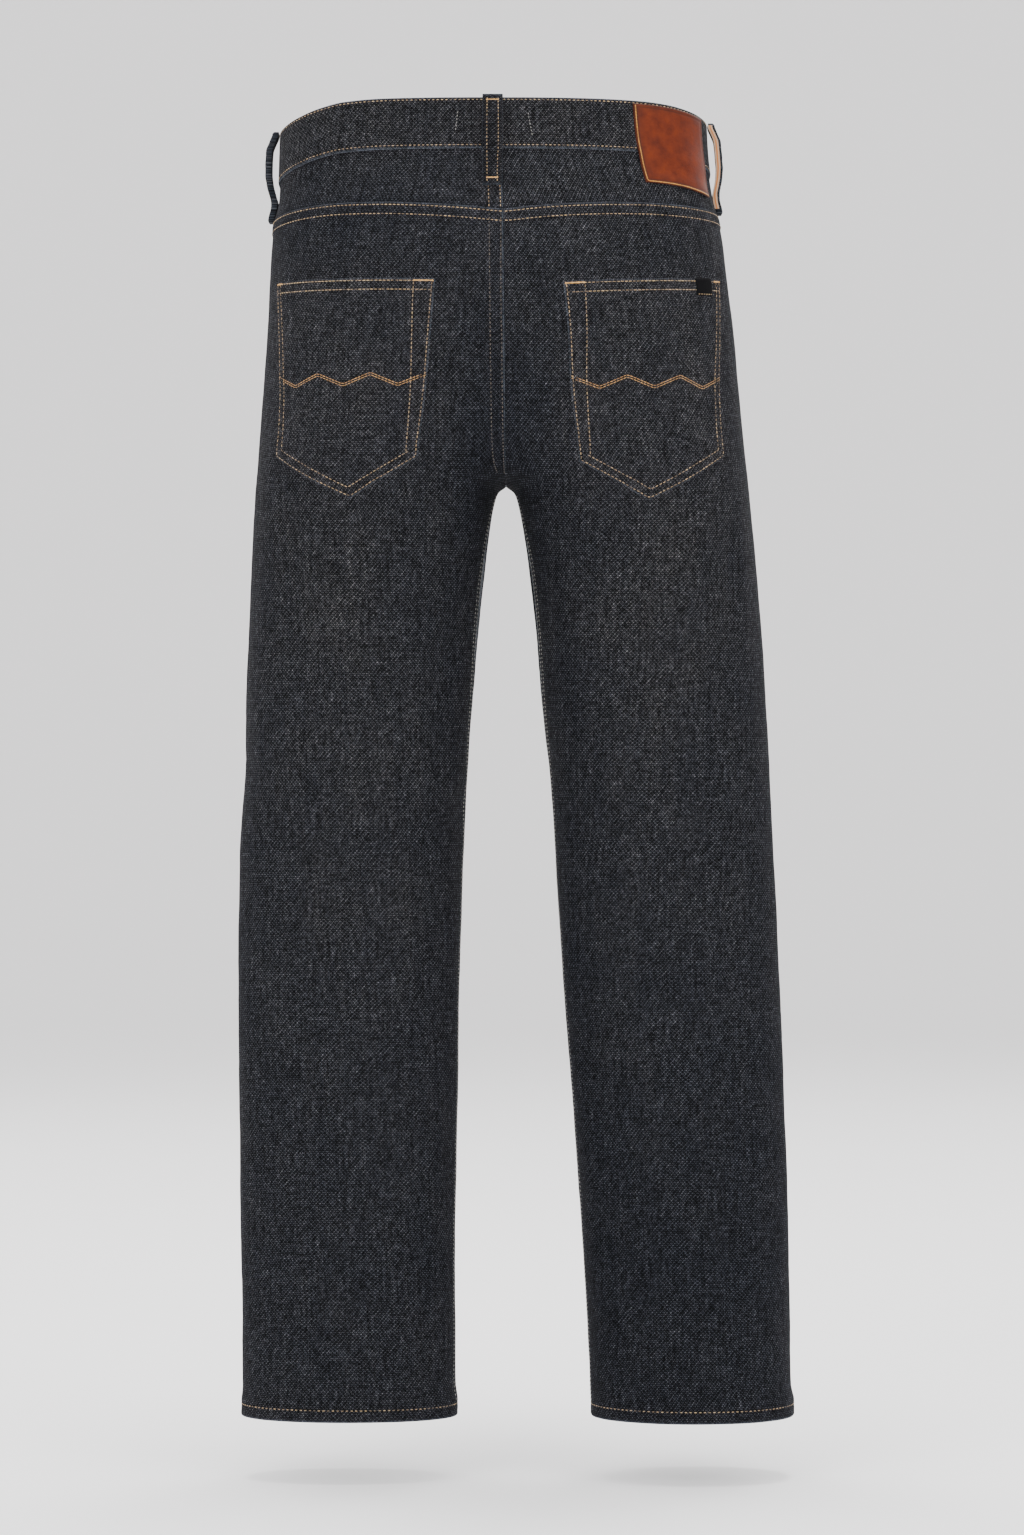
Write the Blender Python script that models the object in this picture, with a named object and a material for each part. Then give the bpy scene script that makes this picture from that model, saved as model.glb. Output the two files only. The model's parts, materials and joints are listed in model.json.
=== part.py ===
"""Straight leg jeans, filled out as worn with no wearer inside.

Frame: metres, +Z up, the wearer's front faces -Y and the wearer's left is +X. The origin is the centre
of the waist, at the middle height of the waistband.

Every piece of cloth is a wall between two copies of one surface. A point on that surface is found from
the half it is on (LEFT or RIGHT), its distance round the body from the outer side line (positive towards
the back, negative towards the front) and its height. Level sections of the body and of each leg are
superellipses, and the two halves are cut where they meet, at the seat seam and at the centre front.
"""

import math

import bmesh
import bpy
import mathutils
import numpy as np

CM = 0.01
MM = 0.001

LEFT = 1
RIGHT = -1

# Cloth thicknesses and clearances
WALL = 1.4 * MM
GAP = 0.3 * MM
BAND_WALL = 3.0 * MM
BAND_PROUD = 1.5 * MM
POCKET_WALL = 1.3 * MM
FACING_WALL = 1.2 * MM
LAP_PROUD = 0.8 * MM
LAP_WIDTH = 9.5 * MM
LAP_STEP = 1.5 * MM
HEM_HEIGHT = 10.5 * MM
HEM_FOLD = 2.0 * MM
STEP_RUN = 1.5 * MM

# Heights, from the waist's centre
BAND_HEIGHT = 41 * MM
CROTCH = -27.5 * CM
HEM = -103.4 * CM
YOKE_LEVEL = -5.8 * CM

# Seams
SIDE_SEAM_FORWARD = 8 * MM
FLY_OVERLAP = 10 * MM
FLY_STRAIGHT_END = -15.0 * CM
FLY_END = -19.0 * CM

# Widest distance round that the upright columns spread to, short of the cloth turned under the crotch
UPRIGHT_REACH = 25.2 * CM

# Front pocket opening
SCOOP_SHARE = 0.47
SCOOP_DEPTH = 70 * MM
FACING_GAP = 0.5 * MM

# Fly closing
ZIP_WIDTH = 28 * MM
ZIP_WALL = 2.2 * MM
ZIP_CENTRE = 2 * MM
ZIP_TOP_SPACE = 14 * MM
ZIP_END = -16.5 * CM
SHIELD_RIGHT = -19 * MM
SHIELD_LEFT = 26 * MM
SHIELD_END = -17.4 * CM
SLIDER_WIDTH = 9 * MM
SLIDER_HEIGHT = 11 * MM
UNDERLAP = 38 * MM
UNDERLAP_RAMP = 18 * MM
UNDERLAP_CLEAR = 3 * MM
BUTTON_RADIUS = 8.5 * MM
BUTTON_HEIGHT = 3.6 * MM
BUTTON_SIDE = 6 * MM
BUTTON_SEGMENTS = 18

# The button head's outline, as shares of its radius and its height
BUTTON_OUTLINE = (
    (0.0, 0.0), (0.86, 0.0), (1.0, 0.28), (1.0, 0.62), (0.88, 1.0), (0.70, 0.90), (0.0, 0.90),
)

# Belt loops
LOOP_WIDTH = 15.5 * MM
LOOP_WALL = 2.6 * MM
FRONT_LOOP = 89 * MM

# Widest column of the waistband and the yokes, and how far round from the side they start to stretch
WAIST_COLUMN = 17 * MM
STRETCH_START = 110 * MM

# Leather patch, by distance round from the right side line
PATCH_WALL = 1.3 * MM
PATCH_OUTER = 39 * MM
PATCH_INNER = 110 * MM
PATCH_TOP_DROP = 2.5 * MM
PATCH_HEIGHT = 64 * MM
PATCH_LIFTS = (BAND_PROUD + GAP, BAND_PROUD + GAP, BAND_PROUD + GAP, 1.0 * MM, 0.6 * MM)

# Pocket label: its wall, and its edges (and bend) as places among the pocket's columns and rows
LABEL_WALL = 0.8 * MM
LABEL_COLUMNS = (4.75, 5.0, 5.47)
LABEL_ROWS = (0.0, 0.27)

ARC_STEPS = 240
TOUCH = 0.01 * MM

# Level sections, centimetres. left and right are the outer side lines, middle is the seam between the
# halves, apart is half the space between the legs (below zero, the legs' sections run into each other),
# depth is each half's half depth, lean is the section's centre along Y, square its exponent.
SECTION_COLUMNS = (
    "height", "left", "right", "middle", "apart", "depth_left", "depth_right", "lean", "square",
)
SECTIONS = np.array((
    (3.5, 17.20, -17.30, 0.00, -17.25, 9.35, 9.35, 0.10, 2.50),
    (0.0, 17.33, -17.45, -0.15, -17.40, 9.60, 9.60, 0.10, 2.50),
    (-4.0, 17.45, -17.95, -0.42, -17.70, 10.45, 10.45, 0.40, 2.45),
    (-6.5, 17.92, -18.55, -0.55, -18.20, 11.10, 11.10, 0.70, 2.40),
    (-10.5, 18.14, -19.09, -0.60, -18.60, 11.90, 11.90, 1.00, 2.35),
    (-15.5, 18.41, -19.68, -0.68, -19.00, 12.10, 12.10, 1.20, 2.32),
    (-19.5, 18.70, -20.03, -0.77, -16.80, 11.75, 11.75, 1.20, 2.35),
    (-23.0, 18.95, -20.38, -0.88, -11.20, 11.15, 11.15, 1.10, 2.45),
    (-25.0, 19.10, -20.58, -0.95, -6.30, 10.60, 10.62, 1.00, 2.58),
    (-26.3, 19.20, -20.70, -1.02, -3.10, 10.18, 10.25, 0.90, 2.68),
    (-27.1, 19.27, -20.78, -1.06, -0.90, 9.90, 10.00, 0.85, 2.72),
    (-27.5, 19.30, -20.82, -1.07, 0.03, 9.78, 9.90, 0.80, 2.72),
    (-28.0, 19.35, -20.88, -1.07, 0.65, 9.64, 9.80, 0.80, 2.70),
    (-29.0, 19.42, -20.97, -1.08, 0.98, 9.42, 9.60, 0.80, 2.62),
    (-32.0, 19.62, -21.31, -1.14, 1.52, 8.90, 9.15, 0.70, 2.45),
    (-38.5, 19.94, -21.88, -1.17, 2.29, 8.15, 8.35, 0.60, 2.28),
    (-45.0, 20.21, -22.35, -1.18, 2.83, 7.42, 7.55, 0.20, 2.16),
    (-51.5, 20.38, -22.69, -1.29, 3.41, 6.77, 6.95, -0.10, 2.10),
    (-58.0, 20.78, -23.03, -1.36, 3.77, 5.90, 6.25, -0.30, 2.10),
    (-68.0, 20.89, -23.50, -1.51, 4.26, 5.25, 5.60, -0.20, 2.10),
    (-78.0, 20.78, -23.90, -1.82, 4.72, 5.05, 5.50, 0.10, 2.10),
    (-88.0, 20.67, -24.21, -2.07, 5.17, 5.05, 5.55, 0.40, 2.10),
    (-97.0, 20.49, -24.32, -2.36, 5.43, 5.00, 5.70, 0.70, 2.10),
    (-101.0, 20.48, -24.40, -2.46, 5.49, 4.95, 5.75, 0.80, 2.10),
    (-102.2, 20.59, -24.62, -2.57, 5.43, 4.90, 5.75, 0.80, 2.10),
    (-104.5, 20.60, -24.62, -2.58, 5.45, 4.90, 5.75, 0.80, 2.10),
))

# Heights of the waistband's top edge and of the yoke seam round each half, centimetres. share is 1 at
# the centre back, 0 at the side line and -1 at the centre front.
EDGE_COLUMNS = ("share", "band_left", "band_right", "yoke_left", "yoke_right")
EDGES = np.array((
    (-1.00, -0.10, -0.10, -6.70, -5.80),
    (-0.60, 0.00, 0.10, -6.50, -5.70),
    (-0.25, 0.70, 1.25, -6.28, -5.56),
    (0.00, 1.25, 1.95, -6.05, -5.48),
    (0.12, 1.45, 2.15, -5.88, -5.45),
    (0.24, 1.95, 2.50, -5.67, -5.43),
    (0.35, 2.50, 2.78, -5.50, -5.42),
    (0.45, 2.85, 2.90, -5.43, -5.42),
    (0.60, 2.97, 2.95, -5.50, -5.50),
    (0.85, 2.97, 2.97, -5.85, -5.82),
    (1.00, 2.97, 2.97, -6.20, -6.20),
))

# How far the inseam lies towards the back of each leg's inner line, centimetres.
INSEAM_COLUMNS = ("height", "back")
INSEAMS = np.array((
    (4.0, 0.0),
    (-27.5, 0.0),
    (-28.3, 0.8),
    (-30.0, 1.6),
    (-34.0, 2.2),
    (-38.5, 1.9),
    (-45.0, 1.0),
    (-52.0, 0.3),
    (-60.0, 0.0),
    (-105.0, 0.0),
))

# Back pockets, centimetres: distance round from the side line and height of each corner and of the tip.
POCKET_COLUMNS = (
    "half", "top_in", "top_out", "low_in", "low_out", "tip",
    "top_in_height", "top_out_height", "low_in_height", "low_out_height", "tip_height",
)
POCKETS = {
    LEFT: (LEFT, 20.05, 4.9, 19.65, 7.4, 13.45, -11.86, -11.43, -25.90, -25.65, -29.10),
    RIGHT: (RIGHT, 20.1, 5.2, 20.3, 8.0, 14.2, -12.09, -11.23, -26.20, -25.60, -29.26),
}
POCKET_SHARES = (0.0, 0.15, 0.30, 0.45, 0.63, 0.82, 1.0)
POCKET_TIP_COLUMN = 3
POCKET_TOP_ROW = 4
POCKET_LOW_ROW = 9
POCKET_FIRST_COLUMN = 7
POCKET_SINK_END = -36.5 * CM
INNER_UPRIGHT_SHARE = 0.60

# Between these heights the back panel's columns pass from the pocket's edges to even spacing.
EVEN_START = -30.5 * CM
EVEN_END = -44.5 * CM

# The largest soft folds, centimetres: a trough or ridge along a line on one half, from (start_round,
# start_height) to (end_round, end_height), with its half width and its depth (below zero, a trough).
FOLD_COLUMNS = (
    "half", "start_round", "start_height", "end_round", "end_height", "width", "depth",
)
FOLDS = (
    (LEFT, 11.4, -30.0, 12.8, -42.0, 1.8, 0.22),
    (LEFT, 14.9, -31.0, 14.4, -43.0, 1.4, -0.20),
    (LEFT, 17.4, -30.0, 17.2, -41.0, 1.5, 0.16),
    (LEFT, 22.8, -30.5, 20.4, -49.0, 1.9, -0.28),
    (LEFT, 22.2, -51.0, 21.6, -51.8, 1.6, 0.20),
    (LEFT, 17.4, -54.8, 22.6, -53.6, 1.5, -0.26),
    (LEFT, 2.0, -50.5, 6.5, -52.8, 1.8, -0.22),
    (LEFT, 21.5, -24.2, 17.5, -29.5, 1.8, 0.18),
    (LEFT, 14.0, -68.0, 13.0, -92.0, 3.0, 0.20),
    (LEFT, -8.0, -50.0, -16.0, -52.5, 2.0, -0.26),
    (LEFT, -14.0, -22.0, -21.0, -25.5, 1.8, -0.24),
    (RIGHT, 10.3, -30.4, 12.4, -42.0, 1.8, 0.24),
    (RIGHT, 7.2, -33.8, 8.6, -48.5, 1.7, -0.30),
    (RIGHT, 14.4, -31.5, 15.0, -40.0, 1.5, -0.18),
    (RIGHT, 17.8, -30.0, 17.9, -38.0, 1.5, 0.16),
    (RIGHT, 11.5, -44.8, 17.8, -43.6, 1.4, -0.18),
    (RIGHT, 4.2, -50.0, 4.4, -52.0, 1.8, 0.20),
    (RIGHT, 21.8, -53.4, 16.2, -55.4, 1.5, -0.26),
    (RIGHT, 20.0, -64.0, 16.6, -88.0, 1.9, -0.30),
    (RIGHT, 12.0, -60.0, 11.0, -86.0, 2.6, 0.20),
    (RIGHT, -8.0, -51.5, -15.0, -53.5, 2.0, -0.26),
    (RIGHT, -14.5, -21.5, -21.0, -25.8, 1.8, -0.24),
)

# Belt loops: which half, and where its centre is on the waistband. The front ones are FRONT_LOOP from the
# centre front.
LOOPS = {
    "loop_back": (LEFT, "back"),
    "loop_side_left": (LEFT, "side"),
    "loop_side_right": (RIGHT, "side"),
    "loop_front_left": (LEFT, "front"),
    "loop_front_right": (RIGHT, "front"),
}

# A loop's inner face: depth below the waistband's top edge and distance off the cloth, millimetres.
LOOP_PATH_COLUMNS = ("drop", "off")
LOOP_PATH = (
    (-2.2, 2.2),
    (1.0, 2.6),
    (6.0, 4.6),
    (13.0, 6.9),
    (22.0, 7.3),
    (31.0, 7.2),
    (40.0, 6.0),
    (49.0, 3.4),
    (57.0, 0.9),
    (63.0, 0.5),
    (72.0, 0.4),
)

# Level rows of the leg panels below the pocket's top edge, centimetres.
BODY_ROWS = (
    -15.0, -18.2, -21.2, -23.6, -25.7, -26.5, -27.05, -27.35, -27.5, -27.75, -28.3, -29.3, -31.0, -33.5,
    -36.5, -40.0, -44.0, -48.0, -51.0, -53.6, -56.5, -61.0, -66.5, -72.5, -78.5, -84.5, -90.5, -96.5, -100.5,
)
LEVEL_POCKET_TOP = -11.7 * CM

# Front panel columns, as shares of the way from the side seam to the fly edge. UNDER_COLUMNS more follow.
FRONT_SHARES = (0.0, 0.06, 0.13, 0.21, 0.30, 0.38, 0.44, SCOOP_SHARE, 0.58, 0.69, 0.80, 0.90)
UNDER_COLUMNS = 3
FRONT_TOP_SHARES = (0.0, 0.30, 0.62)

MATERIALS = {
    "denim": ((0.035, 0.042, 0.060, 1.0), 0.85, 0.0),
    "leather": ((0.30, 0.085, 0.030, 1.0), 0.5, 0.0),
    "label_cloth": ((0.012, 0.012, 0.013, 1.0), 0.7, 0.0),
    "zip_cloth": ((0.025, 0.028, 0.040, 1.0), 0.7, 0.0),
    "brass": ((0.45, 0.27, 0.12, 1.0), 0.35, 1.0),
}


def column(table, names, name):
    """One named column of a table."""
    return table[:, names.index(name)]


def smooth(places, values, at):
    """Monotone cubic through (places, values), read at each point of at; places may run either way."""
    order = np.argsort(places)
    x = places[order]
    y = values[order]
    width = np.diff(x)
    rise = np.diff(y) / width
    slope = np.zeros_like(y)
    slope[0] = rise[0]
    slope[-1] = rise[-1]
    before = 2 * width[1:] + width[:-1]
    after = width[1:] + 2 * width[:-1]
    same_way = rise[:-1] * rise[1:] > 0
    safe_low = np.where(same_way, rise[:-1], 1.0)
    safe_high = np.where(same_way, rise[1:], 1.0)
    slope[1:-1] = np.where(same_way, (before + after) / (before / safe_low + after / safe_high), 0.0)
    at = np.clip(at, x[0], x[-1])
    cell = np.clip(np.searchsorted(x, at) - 1, 0, len(width) - 1)
    t = (at - x[cell]) / width[cell]
    low = (2 * t**3 - 3 * t**2 + 1) * y[cell] + (t**3 - 2 * t**2 + t) * width[cell] * slope[cell]
    high = (3 * t**2 - 2 * t**3) * y[cell + 1] + (t**3 - t**2) * width[cell] * slope[cell + 1]
    return low + high


def section(name, height):
    """A section's named size at each height, in metres (or the plain exponent)."""
    heights = column(SECTIONS, SECTION_COLUMNS, "height") * CM
    scale = 1.0 if name == "square" else CM
    return smooth(heights, column(SECTIONS, SECTION_COLUMNS, name) * scale, height)


def edge_height(name, half, share):
    """Height of the waistband's top edge ("band") or the yoke seam ("yoke") at a share of the half."""
    side = "left" if half == LEFT else "right"
    values = column(EDGES, EDGE_COLUMNS, f"{name}_{side}") * CM
    return smooth(column(EDGES, EDGE_COLUMNS, "share"), values, share)


def level_sizes(half, height):
    """Sizes of one half's section at each height, and the angle it spans each way from the side line."""
    side = "left" if half == LEFT else "right"
    outer = section(side, height)
    middle = section("middle", height) + half * GAP / 2
    inner = section("middle", height) + half * section("apart", height)
    centre = (outer + inner) / 2
    width = np.abs(outer - inner) / 2
    square = section("square", height)
    past = np.clip((centre - middle) * half / width, -1.0, 1.0)
    return {
        "middle": middle,
        "centre": centre,
        "width": width,
        "depth": section(f"depth_{side}", height),
        "lean": section("lean", height),
        "power": 2.0 / square,
        "reach": math.pi - np.arccos(np.sign(past) * np.abs(past) ** (square / 2)),
    }


def at_angle(half, sizes, angle, grow):
    """Points at angles round the sections, moved out by grow and kept on their half's side of the middle."""
    across = np.sign(np.cos(angle)) * np.abs(np.cos(angle)) ** sizes["power"]
    along = np.sign(np.sin(angle)) * np.abs(np.sin(angle)) ** sizes["power"]
    x = sizes["centre"] + half * (sizes["width"] + grow) * across
    x = sizes["middle"] + half * np.maximum((x - sizes["middle"]) * half, 0.0)
    return x, sizes["lean"] + (sizes["depth"] + grow) * along


def arcs(half, height):
    """Section arcs of one half at each height, from the centre back round the side to the centre front."""
    sizes = level_sizes(half, height[:, None])
    angle = sizes["reach"] * np.linspace(1.0, -1.0, ARC_STEPS + 1)[None, :]
    x, y = at_angle(half, sizes, angle, 0.0)
    return x, y, angle


def runs(x, y):
    """Distance round from the side line of every arc point, positive towards the back."""
    steps = np.hypot(np.diff(x, axis=1), np.diff(y, axis=1))
    total = np.concatenate([np.zeros((len(x), 1)), np.cumsum(steps, axis=1)], axis=1)
    return total[:, [ARC_STEPS // 2]] - total


def reaches(half, height):
    """Distances round from the side line to the arc's back end and to its front end."""
    height = np.atleast_1d(np.asarray(height, dtype=float))
    x, y, _ = arcs(half, height)
    run = runs(x, y)
    return run[:, 0], -run[:, -1]


def fold_depth(half, along, height):
    """How far the folds move the cloth out at each point."""
    depth = np.zeros_like(height)
    for row in FOLDS:
        fold = dict(zip(FOLD_COLUMNS, row))
        if fold["half"] != half:
            continue
        start = np.array((fold["start_round"], fold["start_height"])) * CM
        way = np.array((fold["end_round"], fold["end_height"])) * CM - start
        from_start = np.stack([along - start[0], height - start[1]], axis=-1)
        share = np.clip(from_start @ way / (way @ way), 0.0, 1.0)
        away = np.linalg.norm(from_start - share[..., None] * way, axis=-1)
        depth += fold["depth"] * CM * np.exp(-((away / (fold["width"] * CM)) ** 2))
    return depth


def one_half(half, along, height, grow):
    """Points on one half, for distances that lie on its own arcs."""
    x, y, angles = arcs(half, height)
    run = runs(x, y)
    angle = np.array([np.interp(-along[i], -run[i], angles[i]) for i in range(len(along))])
    x, y = at_angle(half, level_sizes(half, height), angle, grow + fold_depth(half, along, height))
    return np.stack([x, y, height], axis=-1)


def cloth(half, along, height, grow=0.0):
    """Points on the cloth, moved out by grow. A distance past an end carries on round the body or leg."""
    along, height, grow = np.broadcast_arrays(
        np.asarray(along, dtype=float), np.asarray(height, dtype=float), np.asarray(grow, dtype=float)
    )
    shape = along.shape
    along, height, grow = along.ravel().copy(), height.ravel().copy(), grow.ravel().copy()
    back, front = reaches(half, height)
    closed = section("apart", height) >= GAP / 2
    past_back = (along > back + TOUCH) & ~closed
    past_front = (along < -front - TOUCH) & ~closed
    other_back, other_front = reaches(-half, height)
    other = past_back | past_front
    own_along = np.where(closed & (along > back), along - back - front, along)
    other_along = np.where(past_back, other_back - (along - back), -other_front - (along + front))
    points = np.empty((len(along), 3))
    if (~other).any():
        points[~other] = one_half(half, own_along[~other], height[~other], grow[~other])
    if other.any():
        points[other] = one_half(-half, other_along[other], height[other], grow[other])
    return points.reshape(shape + (3,))


def material(name):
    """The named material, made once."""
    if name in bpy.data.materials:
        return bpy.data.materials[name]
    colour, roughness, metallic = MATERIALS[name]
    made = bpy.data.materials.new(name)
    made.use_nodes = True
    shader = made.node_tree.nodes["Principled BSDF"]
    shader.inputs["Base Color"].default_value = colour
    shader.inputs["Roughness"].default_value = roughness
    shader.inputs["Metallic"].default_value = metallic
    made.diffuse_color = colour
    return made


def add_object(name, shape, material_name):
    """Link a new object whose mesh is the closed bmesh shape, faces pointing out."""
    bmesh.ops.recalc_face_normals(shape, faces=shape.faces)
    mesh = bpy.data.meshes.new(name)
    shape.to_mesh(mesh)
    shape.free()
    made = bpy.data.objects.new(name, mesh)
    mesh.materials.append(material(material_name))
    bpy.context.scene.collection.objects.link(made)
    return made


def wall(name, outer, inner, material_name="denim"):
    """A closed wall between two grids of points (rows, columns, 3) of the same size."""
    rows, columns = outer.shape[:2]
    shape = bmesh.new()
    skins = []
    for grid in (outer, inner):
        skins.append([[shape.verts.new(tuple(point)) for point in row] for row in grid])
    for skin in skins:
        for i in range(rows - 1):
            for j in range(columns - 1):
                shape.faces.new((skin[i][j], skin[i][j + 1], skin[i + 1][j + 1], skin[i + 1][j]))
    rim = [(0, j) for j in range(columns)]
    rim += [(i, columns - 1) for i in range(1, rows)]
    rim += [(rows - 1, j) for j in range(columns - 2, -1, -1)]
    rim += [(i, 0) for i in range(rows - 2, 0, -1)]
    for here, there in zip(rim, rim[1:] + rim[:1]):
        corners = [skins[0][here[0]][here[1]], skins[0][there[0]][there[1]]]
        corners += [skins[1][there[0]][there[1]], skins[1][here[0]][here[1]]]
        shape.faces.new(corners)
    return add_object(name, shape, material_name)


def inseam_shift(height):
    """How far the inseam lies towards the back, at each height."""
    heights = column(INSEAMS, INSEAM_COLUMNS, "height") * CM
    return smooth(heights, column(INSEAMS, INSEAM_COLUMNS, "back") * CM, height)


def seam_inset(height):
    """Half the seam gap, only where the leg's section is closed: higher up the sections are cut short."""
    return np.where(section("apart", height) >= GAP / 2, GAP / 2, 0.0)


def lerp(start, end, share):
    """The value a share of the way from start to end."""
    return start + (end - start) * share


def pocket_size(half, name):
    """A named size of one half's back pocket, in metres."""
    return dict(zip(POCKET_COLUMNS, POCKETS[half]))[name] * CM


def pocket_edges(half, height):
    """Distances round of the pocket's inner and outer edge lines, carried on above and below it."""
    top = pocket_size(half, "top_in_height")
    low = pocket_size(half, "low_in_height")
    share = np.clip((top - height) / (top - low), 0.0, 1.0)
    inner = lerp(pocket_size(half, "top_in"), pocket_size(half, "low_in"), share)
    outer = lerp(pocket_size(half, "top_out"), pocket_size(half, "low_out"), share)
    return inner, outer


def upright_reach(reach):
    """A panel's reach with the cloth that turns under the crotch left out."""
    return np.minimum(reach, UPRIGHT_REACH)


def back_columns(half, height):
    """Distances round of the back panel's columns, from the seat seam or inseam to the side seam."""
    back, _ = reaches(half, height)
    start = back - seam_inset(height) - inseam_shift(height)
    end = np.full_like(start, -SIDE_SEAM_FORWARD + GAP / 2)
    inner, outer = pocket_edges(half, height)
    lap = start - LAP_WIDTH
    step = lap - LAP_STEP
    upright = lerp(inner, upright_reach(start), INNER_UPRIGHT_SHARE)
    spots = [start, lap, step, lerp(step, upright, 1 / 3), lerp(step, upright, 2 / 3)]
    spots += [upright, lerp(upright, inner, 0.5)]
    spots += [lerp(inner, outer, share) for share in POCKET_SHARES]
    spots += [lerp(outer, end, 0.5), end]
    near_pocket = np.stack(spots, axis=-1)
    even = np.linspace(0.0, 1.0, near_pocket.shape[-1] - 2)[1:]
    leg_spots = [start, lap, step] + [lerp(step, end, share) for share in even]
    on_leg = np.stack(leg_spots, axis=-1)
    blend = np.clip((EVEN_START - height) / (EVEN_START - EVEN_END), 0.0, 1.0)[:, None]
    return lerp(near_pocket, on_leg, blend)


def hem_rows():
    """Heights of the hem's rows: its top, the step's foot and the edge."""
    return [HEM + HEM_HEIGHT + STEP_RUN, HEM + HEM_HEIGHT, HEM]


def yoke_seam(half, along):
    """Height of the yoke seam at distances round, measured at the yoke's level."""
    back, _ = reaches(half, np.full(1, YOKE_LEVEL))
    return edge_height("yoke", half, np.clip(along / back[0], -1.0, 1.0))


def back_heights(half):
    """Heights of the back panel's grid: level rows, bent to the yoke seam and to the pocket's outline."""
    count = POCKET_FIRST_COLUMN + len(POCKET_SHARES) + 2
    level = np.array([LEVEL_POCKET_TOP] + [row * CM for row in BODY_ROWS] + hem_rows())
    first = POCKET_FIRST_COLUMN
    last = first + len(POCKET_SHARES) - 1
    shares = np.zeros(count)
    shares[first:last + 1] = POCKET_SHARES
    shares[last + 1:] = 1.0
    tip_share = POCKET_SHARES[POCKET_TIP_COLUMN]
    top_tilt = lerp(pocket_size(half, "top_in_height"), pocket_size(half, "top_out_height"), shares)
    low_line = lerp(pocket_size(half, "low_in_height"), pocket_size(half, "low_out_height"), shares)
    tip_drop = np.interp(shares, (0.0, tip_share, 1.0), (0.0, 1.0, 0.0))
    tip_line = lerp(pocket_size(half, "low_in_height"), pocket_size(half, "low_out_height"), tip_share)
    low_line = low_line - tip_drop * (tip_line - pocket_size(half, "tip_height"))
    level_low = BODY_ROWS[POCKET_LOW_ROW - POCKET_TOP_ROW - 1] * CM
    heights = []
    for row in level:
        if row >= level_low:
            share = (LEVEL_POCKET_TOP - row) / (LEVEL_POCKET_TOP - level_low)
            moved = lerp(top_tilt - LEVEL_POCKET_TOP, low_line - level_low, share)
        else:
            share = np.clip((level_low - row) / (level_low - POCKET_SINK_END), 0.0, 1.0)
            moved = (low_line - level_low) * (1.0 - share)
        moved = np.where((np.arange(count) < first) & (row < level_low + 1 * MM), 0.0, moved)
        heights.append(row + moved)
    body = np.array(heights)
    seam = yoke_seam(half, back_columns(half, np.full(1, YOKE_LEVEL))[0]) - GAP / 2
    lap = seam - LAP_WIDTH
    step = lap - LAP_STEP
    between = lerp(step, body[0], 0.5)
    return np.concatenate([np.stack([seam, lap, step, between]), body])


def grid_points(half, columns_at, heights, grow):
    """Points of a grid whose columns are read at each point's own height."""
    rows, count = heights.shape
    along = columns_at(half, heights.ravel()).reshape(rows, count, -1)
    along = along[:, np.arange(count), np.arange(count)]
    return cloth(half, along, heights, grow)


def thickness(heights):
    """Inner face offset of a leg panel: the plain wall, and the turned hem's folds at its foot."""
    inner = np.full(heights.shape, -WALL)
    inner[-2:] -= HEM_FOLD
    return inner


def back_panel(half, name):
    """A back leg panel, raised where its lap covers the yoke seam and, on the left, the seat seam."""
    heights = back_heights(half)
    raised = np.zeros(heights.shape)
    raised[:2] = LAP_PROUD
    if half == LEFT:
        seat = heights[:, 0] > CROTCH + 5 * MM
        raised[seat, :2] = LAP_PROUD
    outer = grid_points(half, back_columns, heights, raised)
    inner = grid_points(half, back_columns, heights, thickness(heights))
    wall(name, outer, inner)
    return heights


def back_pocket(half, name, heights):
    """A back pocket: the panel's own points under it, moved out."""
    rows = slice(POCKET_TOP_ROW, POCKET_LOW_ROW + 1)
    columns = slice(POCKET_FIRST_COLUMN, POCKET_FIRST_COLUMN + len(POCKET_SHARES))
    outer = grid_points(half, back_columns, heights, GAP + POCKET_WALL)[rows, columns]
    inner = grid_points(half, back_columns, heights, GAP)[rows, columns]
    wall(name, outer, inner)
    return outer


def filled(marks, step):
    """The marks, in order, with even spots between them no further apart than step."""
    spots = []
    for start, end in zip(marks, marks[1:]):
        parts = max(1, math.ceil(abs(end - start) / step - 1e-6))
        spots += [lerp(start, end, i / parts) for i in range(parts)]
    return spots + [marks[-1]]


def waist_columns(half):
    """Distances round of the yoke's columns, marked at the loops and the patch, centre back first."""
    back, _ = reaches(half, np.zeros(1))
    marks = [back[0], back[0] - LOOP_WIDTH / 2]
    if half == RIGHT:
        marks += [PATCH_INNER, PATCH_OUTER]
    marks += [LOOP_WIDTH / 2, -SIDE_SEAM_FORWARD + GAP / 2]
    return np.array(filled(marks, WAIST_COLUMN))


def scaled_round(half, along, height):
    """Waist distances carried down or up the cloth, so that they meet the seat seam at every height."""
    back, front = reaches(half, np.zeros(1))
    here_back, here_front = reaches(half, np.asarray(height).ravel())
    here_back = here_back.reshape(np.shape(height))
    here_front = here_front.reshape(np.shape(height))
    stretch_back = np.clip((along - STRETCH_START) / (back[0] - STRETCH_START), 0.0, 1.5)
    stretch_front = np.clip((-along - STRETCH_START) / (front[0] - STRETCH_START), 0.0, 1.5)
    return along + stretch_back * (here_back - back[0]) - stretch_front * (here_front - front[0])


def band_top(half, along):
    """Height of the waistband's top edge at distances round one half, past its ends too."""
    back, front = reaches(half, np.zeros(1))
    share = np.where(along > 0, along / back[0], along / front[0])
    return edge_height("band", half, np.clip(share, -1.0, 1.0))


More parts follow.
